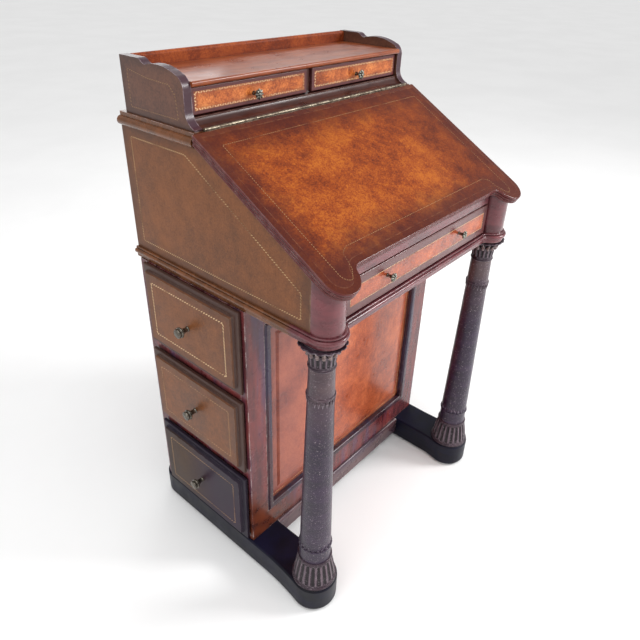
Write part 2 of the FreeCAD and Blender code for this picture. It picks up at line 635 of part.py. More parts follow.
def facing_left(shape, x, y, z):
    """Turn a piece that faces -Y so that it faces -X, and put it in place."""
    moved = shape.copy()
    moved.rotate(Vector(0, 0, 0), Vector(0, 0, 1), -90)
    moved.translate(Vector(x, y, z))
    return moved


def side_front_shape():
    """Side drawer front, as the true and the false fronts both have it: a plate with a raised field."""
    half, half_z = (SIDE_FRONT_Y1 - SIDE_FRONT_Y0) / 2, SIDE_FRONT_H / 2

    def rectangle(y, inset):
        wide, high = half - inset, half_z - inset
        signs = ((-1, -1), (1, -1), (1, 1), (-1, 1), (-1, -1))
        return Part.makePolygon([Vector(a * wide, y, b * high) for a, b in signs])
    plate = eased_slab(2 * half, 2 * half_z, SIDE_FIELD_RISE, SIDE_FRONT_T)
    foot = rectangle(SIDE_FIELD_RISE, SIDE_FIELD_FOOT)
    crest = rectangle(0, SIDE_FIELD_FOOT + SIDE_FIELD_BEVEL)
    return plate.fuse(Part.makeLoft([foot, crest], True))


def side_drawer(level):
    """Front, box and knob of one side drawer, standing a little ajar."""
    open_low, open_high = opening_z(level)
    middle_z = (open_low + open_high) / 2
    back_x = -PEDESTAL_HALF - SLIDE_PLAY - SIDE_AJAR[level]
    face_x = back_x - SIDE_FRONT_T
    half = (SIDE_FRONT_Y1 - SIDE_FRONT_Y0) / 2 - SIDE_LIP - DRAWER_PLAY
    boards = drawer_boards(half, SIDE_BOX_DEPTH, SIDE_BOX_H)
    box = [facing_left(b, back_x, SIDE_MIDDLE_Y, open_low + SLIDE_PLAY) for b in boards]
    return {"front": facing_left(side_front_shape(), face_x, SIDE_MIDDLE_Y, middle_z),
            "box": Part.makeCompound(box),
            "knob": facing_left(turned_knob(**SIDE_KNOB), face_x, SIDE_MIDDLE_Y, middle_z)}


def dummy_fronts():
    """False drawer fronts and their knobs on the right side."""
    face = side_front_shape()
    knob = turned_knob(**SIDE_KNOB)
    face_x = -PEDESTAL_HALF - SIDE_FRONT_T
    fronts, knobs = [], []
    for level in SIDE_ORDER:
        middle_z = sum(opening_z(level)) / 2
        fronts.append(mirrored(facing_left(face, face_x, SIDE_MIDDLE_Y, middle_z), -1))
        knobs.append(mirrored(facing_left(knob, face_x, SIDE_MIDDLE_Y, middle_z), -1))
    return Part.makeCompound(fronts), Part.makeCompound(knobs)


def front_drawer():
    """Shallow drawer between the corner drums."""
    middle_z = BOX_FLOOR_Z + DRAWER_PLAY + FRONT_DRAWER_H / 2
    face = eased_slab(2 * FRONT_DRAWER_HALF, FRONT_DRAWER_H, 0, BOX_BOARD)
    boards = drawer_boards(FRONT_BOX_HALF, FRONT_BOX_DEPTH, FRONT_BOX_H)
    box = [placed(b, 0, BOX_FRONT_Y + BOX_BOARD, BOX_FLOOR_Z + SLIDE_PLAY) for b in boards]
    knob = turned_knob(**FRONT_KNOB)
    knob_z = middle_z + FRONT_KNOB_RISE
    knobs = [placed(knob, side * FRONT_KNOB_X, BOX_FRONT_Y, knob_z) for side in SIDES.values()]
    return {"front": placed(face, 0, BOX_FRONT_Y, middle_z),
            "box": Part.makeCompound(box),
            "knobs": Part.makeCompound(knobs)}


def gallery_drawer(side):
    """One of the two small drawers under the tray."""
    width = GALLERY_INSIDE - DIVIDER / 2 - 2 * DRAWER_PLAY
    middle_x = side * (GALLERY_INSIDE + DIVIDER / 2) / 2
    low, high = GALLERY_FLOOR_Z + DRAWER_PLAY, TRAY_Z - TRAY_THICK - DRAWER_PLAY
    middle_z = (low + high) / 2
    face = eased_slab(width, high - low, 0, GALLERY_FRONT_T)
    boards = drawer_boards(width / 2 - DRAWER_PLAY, GALLERY_BOX_DEPTH, GALLERY_BOX_H)
    box = [placed(b, middle_x, GALLERY_BOX_Y, GALLERY_FLOOR_Z + SLIDE_PLAY) for b in boards]
    knob_z = middle_z - GALLERY_KNOB_DROP
    return {"front": placed(face, middle_x, GALLERY_FACE_Y, middle_z),
            "box": Part.makeCompound(box),
            "knob": placed(turned_knob(**GALLERY_KNOB), middle_x, GALLERY_FACE_Y, knob_z)}


# Writing box
def box_bottom():
    """Bottom board whose edge is a band, a torus and a bead, rounded over the columns."""
    levels = [(MOULD_BAND_H, MOULD_BAND_OUT, False), (MOULD_TORUS_H, MOULD_TORUS_OUT, True),
              (MOULD_BEAD_H, MOULD_BEAD_OUT, True)]
    z = BOX_BOTTOM_Z
    board = None
    for height, out, round_edge in levels:
        plate = lobed_plate(DRUM_X + DRUM_R, BOX_BACK_Y, BOX_FRONT_Y, DRUM_Y, DRUM_R, MOULD_COVE_R,
                            out, z, z + height)
        if round_edge:
            plate = bullnosed(plate, BOX_BACK_Y, height)
        board = plate if board is None else board.fuse(plate)
        z += height
    return board.removeSplitter()


def drum_space(side):
    """Upright cylinder that a corner drum fills."""
    return Part.makeCylinder(DRUM_R, BOX_TOP_Z - BOX_FLOOR_Z, Vector(side * DRUM_X, DRUM_Y, BOX_FLOOR_Z))


def corner_drum(side):
    """Round corner post between the bottom board and the lid."""
    return drum_space(side).cut(above_lid_line())


def box_side(side):
    """Side board, sloped under the lid and hollowed to fit the corner drum."""
    board = block(BOX_HALF - BOX_BOARD, BOX_HALF, DRUM_Y, BOX_BACK_Y, BOX_FLOOR_Z, BOX_TOP_Z - TOP_BOARD)
    return mirrored(board.cut(drum_space(1)).cut(above_lid_line()), side)


def box_back():
    """Back board of the writing box."""
    half = BOX_HALF - BOX_BOARD
    return block(-half, half, BOX_BACK_Y - BOX_BOARD, BOX_BACK_Y, BOX_FLOOR_Z, BOX_TOP_Z - TOP_BOARD)


def box_top_board():
    """Fixed top behind the lid, under the gallery."""
    return block(-BOX_HALF, BOX_HALF, HINGE_Y + HINGE_GAP / 2, BOX_BACK_Y, BOX_TOP_Z - TOP_BOARD, BOX_TOP_Z)


def box_top_moulding():
    """Half-round moulding along the top of each side."""
    z = BOX_TOP_Z - TORUS_DROP
    front = HINGE_Y + HINGE_GAP / 2
    inside = block(-BOX_HALF, BOX_HALF, front, BOX_BACK_Y, z - TORUS_R, z + TORUS_R)
    rods = []
    for side in SIDES.values():
        foot = Vector(side * BOX_HALF, front, z)
        rods.append(Part.makeCylinder(TORUS_R, BOX_BACK_Y - front, foot, Vector(0, 1, 0)).cut(inside))
    return Part.makeCompound(rods)


def front_rail():
    """Rail above the front drawer, under the lid's front edge."""
    rail = block(-FRONT_DRAWER_HALF, FRONT_DRAWER_HALF, BOX_FRONT_Y + FRONT_RAIL_SETBACK,
                 BOX_FRONT_Y + BOX_BOARD, DRAWER_TOP_Z, BOX_TOP_Z)
    return rail.cut(above_lid_line())


def well_floor():
    """Floor of the writing well, over the front drawer."""
    half = BOX_HALF - BOX_BOARD
    floor = block(-half, half, BOX_FRONT_Y + BOX_BOARD, BOX_BACK_Y - BOX_BOARD, DRAWER_TOP_Z, WELL_TOP_Z)
    for side in SIDES.values():
        floor = floor.cut(drum_space(side))
    return floor


# Lid, hinge and stay
def lid_plate(out, back, z0, z1):
    """Lobed plate of the lid, drawn flat with the hinge axis at Y = 0."""
    return lobed_plate(LID_HALF, back, -LID_FRONT, -LID_FRONT - LID_LOBE_FORWARD, LID_LOBE_R, LID_COVE_R,
                       out, z0, z1)


def lid_leather():
    """Inlaid leather of the writing surface."""
    return on_slope(lid_plate(-LEATHER_MARGIN, -LEATHER_MARGIN, -LID_DROP - LEATHER_THICK, -LID_DROP))


def lid_board():
    """Sloping lid with a reeded edge, recessed for its leather."""
    back = LID_THICK
    reed = LID_THICK / LID_REEDS
    board = None
    for i in range(LID_REEDS):
        z0 = LID_UNDER + i * reed
        plate = bullnosed(lid_plate(0, back, z0, z0 + reed), back, reed)
        board = plate if board is None else board.fuse(plate)
    board = on_slope(board.removeSplitter())
    behind = block(-2 * LID_HALF, 2 * LID_HALF, HINGE_Y - HINGE_GAP / 2, BOX_BACK_Y, 0, 2 * BOX_TOP_Z)
    return board.cut(behind).cut(lid_leather())


def hinge_axis_rod(radius, x0, x1):
    """Cylinder along the hinge axis."""
    return Part.makeCylinder(radius, x1 - x0, Vector(x0, HINGE_Y, HINGE_Z), Vector(1, 0, 0))


def hinge_leaf(first, y0, y1):
    """Leaf between two Y faces, with every second knuckle from the first one."""
    half = HINGE_LENGTH / 2
    pitch = HINGE_LENGTH / KNUCKLES
    play = KNUCKLE_PLAY / 2
    leaf = block(-half, half, y0, y1, BOX_TOP_Z - LEAF_HEIGHT, HINGE_Z)
    for i in range(KNUCKLES):
        x0 = -half + i * pitch
        if i % 2 == first:
            leaf = leaf.fuse(hinge_axis_rod(KNUCKLE_R, x0 + play, x0 + pitch - play))
        else:
            leaf = leaf.cut(hinge_axis_rod(KNUCKLE_R + KNUCKLE_PLAY, x0 - play, x0 + pitch + play))
    return leaf.cut(hinge_axis_rod(PIN_R + PIN_CLEARANCE, -half, half))


def hinge_leaf_desk():
    """Leaf on the front of the top board."""
    y1 = HINGE_Y + HINGE_GAP / 2
    return hinge_leaf(0, y1 - LEAF_THICK, y1)


def hinge_leaf_lid():
    """Leaf on the end of the lid."""
    y0 = HINGE_Y - HINGE_GAP / 2
    return hinge_leaf(1, y0, y0 + LEAF_THICK)


def hinge_pin():
    """Pin through all the knuckles."""
    return hinge_axis_rod(PIN_R, -HINGE_LENGTH / 2, HINGE_LENGTH / 2)


def ring_sector(r0, r1, x0, x1, start, end):
    """Part of a ring round the hinge axis, between two angles below the forward horizontal."""
    def at(radius, angle):
        turn = math.radians(angle)
        return Vector(x0, HINGE_Y - radius * math.cos(turn), HINGE_Z - radius * math.sin(turn))
    middle = (start + end) / 2
    face = closed_face(at(r0, start), [
        (at(r0, middle), at(r0, end)), (at(r1, end),), (at(r1, middle), at(r1, start)), (at(r0, start),)])
    return face.extrude(Vector(x1 - x0, 0, 0))


def stay_x():
    """Faces of the stay bar."""
    outer = BOX_HALF - BOX_BOARD - STAY_INSET
    return outer - STAY_THICK, outer


def lid_stay():
    """Curved bar on the lid's underside that runs through a keeper and stops on its lug."""
    x0, x1 = stay_x()
    inner, outer = STAY_R - STAY_WIDTH / 2, STAY_R + STAY_WIDTH / 2
    lug_at = LID_SLOPE + KEEPER_AT + KEEPER_HALF_ANGLE + LID_OPEN + math.degrees(STAY_PLAY / STAY_R)
    lug_end = lug_at + math.degrees(STAY_LUG / STAY_R)
    bar = ring_sector(inner, outer, x0, x1, LID_SLOPE, lug_end)
    lug = ring_sector(inner - STAY_LUG, outer + STAY_LUG, x0, x1, lug_at, lug_end)
    foot = block(x0 - STAY_LUG, x1 + STAY_LUG, -STAY_R - STAY_FOOT / 2, STAY_FOOT / 2 - STAY_R,
                 LID_UNDER - STAY_THICK, LID_UNDER)
    lid_space = on_slope(block(-LID_HALF, LID_HALF, -2 * STAY_R, 0, LID_UNDER, STAY_R))
    return bar.fuse(lug).cut(lid_space).fuse(on_slope(foot))


def stay_keeper():
    """Slotted guide for the stay on the inside of the right box side."""
    x0, x1 = stay_x()
    half = STAY_WIDTH / 2 + STAY_PLAY
    middle = LID_SLOPE + KEEPER_AT
    span = (middle - KEEPER_HALF_ANGLE, middle + KEEPER_HALF_ANGLE)
    keeper = ring_sector(STAY_R - half - KEEPER_WALL, STAY_R + half + KEEPER_WALL,
                         x0 - KEEPER_WALL, BOX_HALF - BOX_BOARD, *span)
    slot = ring_sector(STAY_R - half, STAY_R + half, x0 - STAY_PLAY, x1 + STAY_PLAY, *span)
    return keeper.cut(slot)


# Gallery
def gallery_side(side):
    """Shaped end: flat at the back, stepped down, humped, and flared forward at the foot."""
    top, back, front, foot = GALLERY_TOP_Z, GALLERY_BACK_Y, GALLERY_FRONT_Y, GALLERY_FOOT_Y
    flat_end = (back - CREST_FLAT, top)
    step_end = (flat_end[0] - CREST_STEP, top - CREST_DROP)
    brow = (front + BROW_DEPTH, top - BROW_DROP)
    brow_end = (front, brow[1] - BROW_FALL)
    flare_top = (front, BOX_TOP_Z + FLARE_RISE)
    outline = [((back, top),), (flat_end,)]
    outline += ogee(flat_end, step_end)
    outline += [
        (((step_end[0] + brow[0]) / 2, step_end[1] + CREST_HUMP), brow),
        ((front + BROW_DEPTH * QUARTER, brow[1] - BROW_FALL * QUARTER), brow_end),
        (flare_top,),
        hollow_quarter(flare_top, (foot, BOX_TOP_Z + COVE_LIP)),
        ((foot, BOX_TOP_Z),)]
    return mirrored(along_x((back, BOX_TOP_Z), outline, GALLERY_INSIDE, GALLERY_HALF), side)


def gallery_back():
    """Back board of the tray, with a rounded top edge."""
    board = block(-GALLERY_INSIDE, GALLERY_INSIDE, GALLERY_BACK_Y - GALLERY_BACK_T, GALLERY_BACK_Y,
                  BOX_TOP_Z, GALLERY_TOP_Z)
    return rounded(board, GALLERY_BACK_T * ROUND_SHARE, lambda p: abs(p.z - GALLERY_TOP_Z) < NEAR)


def gallery_tray():
    """Tray board over the drawers, with a rounded nosing."""
    front = GALLERY_FRONT_Y - TRAY_NOSING
    board = block(-GALLERY_INSIDE, GALLERY_INSIDE, front, GALLERY_BACK_Y - GALLERY_BACK_T,
                  TRAY_Z - TRAY_THICK, TRAY_Z)
    edges = level_edges(board, lambda a, b: abs(a.y - front) < NEAR and abs(b.y - front) < NEAR)
    return board.makeFillet(TRAY_THICK * ROUND_SHARE, edges)


def gallery_floor():
    """Floor under the small drawers; its front is a fillet over a hollow that meets the hinge."""
    back, front, foot = GALLERY_BACK_Y - GALLERY_BACK_T, GALLERY_FRONT_Y, GALLERY_FOOT_Y
    lip = (front, GALLERY_FLOOR_Z - COVE_LIP)
    return along_x((back, BOX_TOP_Z), [
        ((back, GALLERY_FLOOR_Z),),
        ((front, GALLERY_FLOOR_Z),),
        (lip,),
        hollow_quarter(lip, (foot, BOX_TOP_Z + COVE_LIP)),
        ((foot, BOX_TOP_Z),)], -GALLERY_INSIDE, GALLERY_INSIDE)


def gallery_divider():
    """Upright between the small drawers."""
    return block(-DIVIDER / 2, DIVIDER / 2, GALLERY_FACE_Y + GALLERY_FRONT_T / 2,
                 GALLERY_BACK_Y - GALLERY_BACK_T, GALLERY_FLOOR_Z, TRAY_Z - TRAY_THICK)


def build():
    """Every piece of the desk by its name."""
    pieces = {"base_rails": base_rails()}
    for name, side in SIDES.items():
        pieces["runner_" + name] = runner(side)
        pieces["column_base_" + name] = column_base(side)
        pieces["column_shaft_" + name] = column_shaft(side)
        pieces["column_capital_" + name] = column_capital(side)
        pieces["box_side_" + name] = box_side(side)
        pieces["corner_drum_" + name] = corner_drum(side)
        pieces["gallery_side_" + name] = gallery_side(side)
        for piece, shape in gallery_drawer(side).items():
            pieces["gallery_drawer_" + name + "_" + piece] = shape
    for level in SIDE_ORDER:
        for piece, shape in side_drawer(level).items():
            pieces["side_drawer_" + level + "_" + piece] = shape
    for piece, shape in front_drawer().items():
        pieces["front_drawer_" + piece] = shape
    pieces["dummy_drawer_fronts"], pieces["dummy_drawer_knobs"] = dummy_fronts()
    for make in (pedestal_front_frame, pedestal_panel_moulding, pedestal_front_panel, pedestal_left_frame,
                 pedestal_right_side, pedestal_back, dust_boards, box_bottom, box_back, box_top_board,
                 box_top_moulding, front_rail, well_floor, lid_board, lid_leather, hinge_leaf_desk,
                 hinge_leaf_lid, hinge_pin, lid_stay, stay_keeper, gallery_back, gallery_tray,
                 gallery_floor, gallery_divider):
        pieces[make.__name__] = make()
    return pieces


def main():
    """Write each piece, moved so that the desk stands centred over the origin."""
    pieces = build()
    box = Part.makeCompound(list(pieces.values())).optimalBoundingBox(False, False)
    shift = Vector(-box.Center.x, -box.Center.y, -box.ZMin)
    os.makedirs("parts", exist_ok=True)
    for name, shape in pieces.items():
        shape.translate(shift)
        shape.exportStep(os.path.join("parts", name + ".step"))
    print("pieces", len(pieces), "shift", [round(c, 4) for c in shift],
          "size", [round(c, 2) for c in (box.XLength, box.YLength, box.ZLength)])
    print("hinge axis at", round(HINGE_Y + shift.y, 4), round(HINGE_Z + shift.z, 4),
          "slope", round(LID_SLOPE, 3), "lid", round(LID_FRONT, 2))
    print("side fronts", round(SIDE_FRONT_H, 3), round(SIDE_PITCH, 3))
    print("side boxes", SIDE_BOX_DEPTH, round(SIDE_BOX_H, 3))


main()
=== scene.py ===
"""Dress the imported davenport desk: hides, lacquers, gold tooling, carved columns and turned knobs."""

import json
import logging
import math
from dataclasses import dataclass, replace
from enum import Enum
from typing import Any, Sequence

import bmesh
import bpy
from mathutils import Matrix, Vector

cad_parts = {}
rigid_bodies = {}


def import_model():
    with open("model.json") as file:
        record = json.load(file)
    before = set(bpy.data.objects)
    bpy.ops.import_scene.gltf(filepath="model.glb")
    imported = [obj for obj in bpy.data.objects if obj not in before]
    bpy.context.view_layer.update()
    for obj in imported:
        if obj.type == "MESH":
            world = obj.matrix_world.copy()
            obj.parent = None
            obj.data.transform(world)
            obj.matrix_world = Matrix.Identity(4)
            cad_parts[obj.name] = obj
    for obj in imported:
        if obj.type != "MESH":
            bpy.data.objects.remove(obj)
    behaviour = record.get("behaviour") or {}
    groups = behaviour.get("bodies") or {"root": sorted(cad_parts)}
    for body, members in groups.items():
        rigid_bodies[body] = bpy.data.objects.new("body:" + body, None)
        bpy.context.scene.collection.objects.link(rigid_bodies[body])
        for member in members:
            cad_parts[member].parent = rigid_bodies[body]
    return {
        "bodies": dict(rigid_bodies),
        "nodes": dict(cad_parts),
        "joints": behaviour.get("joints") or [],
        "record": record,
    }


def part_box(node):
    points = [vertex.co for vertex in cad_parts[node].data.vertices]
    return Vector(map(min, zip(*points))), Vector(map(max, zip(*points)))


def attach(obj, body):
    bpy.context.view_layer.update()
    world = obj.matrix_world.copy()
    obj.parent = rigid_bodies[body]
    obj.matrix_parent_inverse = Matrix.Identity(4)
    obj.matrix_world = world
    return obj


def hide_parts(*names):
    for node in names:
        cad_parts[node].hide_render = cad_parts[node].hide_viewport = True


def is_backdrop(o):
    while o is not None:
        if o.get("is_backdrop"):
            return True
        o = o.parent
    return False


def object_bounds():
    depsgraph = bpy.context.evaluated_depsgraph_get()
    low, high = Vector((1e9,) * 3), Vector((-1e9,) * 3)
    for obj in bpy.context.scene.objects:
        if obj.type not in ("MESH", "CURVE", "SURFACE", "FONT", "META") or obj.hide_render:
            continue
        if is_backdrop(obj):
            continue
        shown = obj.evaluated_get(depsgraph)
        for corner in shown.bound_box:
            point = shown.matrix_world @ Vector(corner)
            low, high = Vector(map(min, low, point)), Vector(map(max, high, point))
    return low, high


LOG = logging.getLogger("desk")
Material = bpy.types.Material
Node = bpy.types.Node
Shape = bmesh.types.BMesh
Socket = bpy.types.NodeSocket
Tree = bpy.types.NodeTree
Triple = tuple[float, float, float]
Point = tuple[float, float]
Spot = tuple[Vector, Vector]

MM = 0.001
RIGHTWARDS, LEFTWARDS = (1.0, 0.0, 0.0), (-1.0, 0.0, 0.0)
BACKWARDS, FORWARDS = (0.0, 1.0, 0.0), (0.0, -1.0, 0.0)
UPWARDS, LOW_LEFT = (0.0, 0.0, 1.0), (-1.0, 0.0, -1.0)
LEVELS = ("bottom", "middle", "top")
MIX_FIRST, MIX_SECOND, MIX_RESULT = 6, 7, 2  # a Mix node's colour sockets, which share their names with others
COAT_ROUGHNESS = 0.16
# Near black of the lacquers' darkened corners: painted shade and grime.
SHADE_AND_GRIME = "120a0b"


class Slot(str, Enum):
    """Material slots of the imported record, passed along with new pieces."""

    DARK = "dark_lacquer"
    BRASS = "hinge_brass"
    BRONZE = "bronze"
    PEWTER = "pewter"


class Facing(Enum):
    """Which way a flat panel looks: its own right and up directions."""

    FRONT = (RIGHTWARDS, UPWARDS)
    LEFT = (FORWARDS, UPWARDS)
    RIGHT = (BACKWARDS, UPWARDS)


class Slant(Enum):
    """How the dashes of a tooled line lean, in degrees, one after the other."""

    ROPE = (32.0, 32.0)
    ZIGZAG = (48.0, -48.0)
    PLAIN = (0.0, 0.0)


SIDES = {"left": Facing.LEFT, "right": Facing.RIGHT}


def paint(code: str) -> tuple[float, float, float, float]:
    """Linear colour of a display colour, with full alpha, as a colour socket takes it.

    Args:
        code: six hexadecimal digits, red first.

    Returns:
        The linear red, green and blue, and the alpha.
    """
    parts = [int(code[i:i + 2], 16) / 255 for i in (0, 2, 4)]
    red, green, blue = (p / 12.92 if p <= 0.04045 else ((p + 0.055) / 1.055) ** 2.4 for p in parts)
    return red, green, blue, 1.0


def corners(node: str) -> tuple[Vector, Vector]:
    """Low and high corners of a CAD node's box."""
    low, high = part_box(node)
    return Vector(low), Vector(high)


def middle(node: str) -> Vector:
    """Middle of a CAD node's box."""
    low, high = corners(node)
    return (low + high) / 2


def add_object(name: str, data: Any) -> bpy.types.Object:
    """Add an object to the scene.

    Args:
        name: the object's name.
        data: its mesh, light or camera.

    Returns:
        The new object.
    """
    item = bpy.data.objects.new(name, data)
    bpy.context.scene.collection.objects.link(item)
    return item


@dataclass(frozen=True)
class Panel:
    """A flat face of the desk with its own axes, in metres."""

    centre: Vector
    across: Vector
    up: Vector
    half_across: float
    half_up: float

    @classmethod
    def of_node(cls, node: str, facing: Facing) -> "Panel":
        """Outer face of a board-like node.

        Args:
            node: the CAD node's name.
            facing: which way the face looks.

        Returns:
            The panel of that face.
        """
        low, high = corners(node)
        across, up = (Vector(axis) for axis in facing.value)
        out, half = across.cross(up), (high - low) / 2
        centre = (low + high) / 2 + out * abs(half.dot(out))
        return cls(centre, across, up, abs(half.dot(across)), abs(half.dot(up)))

    def out(self) -> Vector:
        """Outward direction of the face."""
        return self.across.cross(self.up)

    def at(self, spot: Sequence[float], lift: float = 0.0) -> Vector:
        """Place of a spot of the face, lifted off it."""
        return self.centre + self.across * spot[0] + self.up * spot[1] + self.out() * lift

    def turn(self) -> Matrix:
        """Rotation from the desk's axes to the panel's own."""
        return Matrix((self.across, self.up, self.out()))

    def border(self, inset: float) -> list[Point]:
        """Corners of a rectangle inside the face."""
        wide, high = self.half_across - inset, self.half_up - inset
        return [(-wide, -high), (wide, -high), (wide, high), (-wide, high)]

    def from_front(self, path: Sequence[Point]) -> list[Point]:
        """Path on one of the desk's sides, given with the desk's back at its right."""
        sign = math.copysign(1.0, self.across.y)
        return [(sign * x, y) for x, y in path]


class Graph:
    """Short ways to add nodes to one shader tree."""

    def __init__(self, tree: Tree) -> None:
        """Keep the tree that the nodes go into."""
        self.tree = tree

    def add(self, kind: str, inputs: dict[Any, Any] | None = None, **settings: Any) -> Node:
        """Add a shader node.

        Args:
            kind: the node's type name after ShaderNode.
            inputs: values or sockets for its inputs, each by its name or place.
            settings: properties to set on it.

        Returns:
            The new node.
        """
        node = self.tree.nodes.new("ShaderNode" + kind)
        for name, value in settings.items():
            setattr(node, name, value)
        for key, value in (inputs or {}).items():
            self.feed(node.inputs[key], value)
        return node

    def feed(self, socket: Socket, value: Any) -> None:
        """Link an output to a socket, or set the socket's own value.

        Args:
            socket: the input.
            value: an output socket, or a plain value.
        """
        if isinstance(value, Socket):
            self.tree.links.new(value, socket)
        else:
            socket.default_value = value

    def math(self, operation: str, *values: Any) -> Socket:
        """Result of a math node."""
        return self.add("Math", dict(enumerate(values)), operation=operation).outputs[0]

    def plus(self, first: Any, second: Any) -> Socket:
        """Sum of two values."""
        return self.math("ADD", first, second)

    def minus(self, first: Any, second: Any) -> Socket:
        """Difference of two values."""
        return self.math("SUBTRACT", first, second)

    def times(self, first: Any, second: Any) -> Socket:
        """Product of two values."""
        return self.math("MULTIPLY", first, second)

    def dot(self, first: Any, second: Any) -> Socket:
        """Dot product of two vectors."""
        return self.add("VectorMath", {0: first, 1: second}, operation="DOT_PRODUCT").outputs["Value"]

    def split(self, vector: Any) -> Sequence[Socket]:
        """The three parts of a vector."""
        return self.add("SeparateXYZ", {0: vector}).outputs

    def noise(self, vector: Any, scale: Any, detail: float = 4.0, rough: float = 0.6) -> Socket:
        """Noise value at a place, about 0.5 on average."""
        inputs = {"Vector": vector, "Scale": scale, "Detail": detail, "Roughness": rough}
        return self.add("TexNoise", inputs).outputs["Fac"]

    def ease(self, value: Any, low: Any, high: Any, start: float = 0.0, end: float = 1.0) -> Socket:
        """Smooth step of a value between two limits, put out between start and end."""
        inputs = dict(enumerate((value, low, high, start, end)))
        return self.add("MapRange", inputs, interpolation_type="SMOOTHSTEP").outputs[0]

    def mix(self, factor: Any, first: Any, second: Any) -> Socket:
        """Blend of two colours by the second one's share."""
        inputs = {0: factor, MIX_FIRST: first, MIX_SECOND: second}
        return self.add("Mix", inputs, data_type="RGBA").outputs[MIX_RESULT]

    def lay(self, colour: Any, code: str, mask: Any, share: float = 1.0) -> Socket:
        """Colour with a display colour laid over it by a share of a mask."""
        return self.mix(self.times(mask, share), colour, paint(code))

    def use(self, group: Tree, **values: Any) -> Any:
        """Outputs of a node group; values go to its inputs by name, with underscores for spaces."""
        inputs = {name.replace("_", " "): value for name, value in values.items()}
        return self.add("Group", inputs, node_tree=group).outputs

    def object_place(self) -> Socket:
        """Object coordinates of the surface."""
        return self.add("TexCoord").outputs["Object"]


class Group(Graph):
    """A node group under construction."""

    def __init__(self, name: str, inputs: dict[str, str], *outputs: str) -> None:
        """Make the group and its sockets.

        Args:
            name: the group's name.
            inputs: for each kind, Vector, Float or Color, the names of its inputs with commas between them.
            outputs: each output's name; one called Color is a colour and the rest are values.
        """
        super().__init__(bpy.data.node_groups.new(name, "ShaderNodeTree"))
        sockets = self.tree.interface
        for kind, labels in inputs.items():
            for label in labels.split(", "):
                sockets.new_socket(label, in_out="INPUT", socket_type="NodeSocket" + kind)
        for label in outputs:
            kind = "Color" if label == "Color" else "Float"
            sockets.new_socket(label, in_out="OUTPUT", socket_type="NodeSocket" + kind)
        self.given = self.tree.nodes.new("NodeGroupInput").outputs
        self.result = self.tree.nodes.new("NodeGroupOutput").inputs

    def give(self, **results: Any) -> Tree:
        """Feed the group's outputs.

        Args:
            results: what each output puts out.

        Returns:
            The finished group.
        """
        for label, value in results.items():
            self.feed(self.result[label], value)
        return self.tree


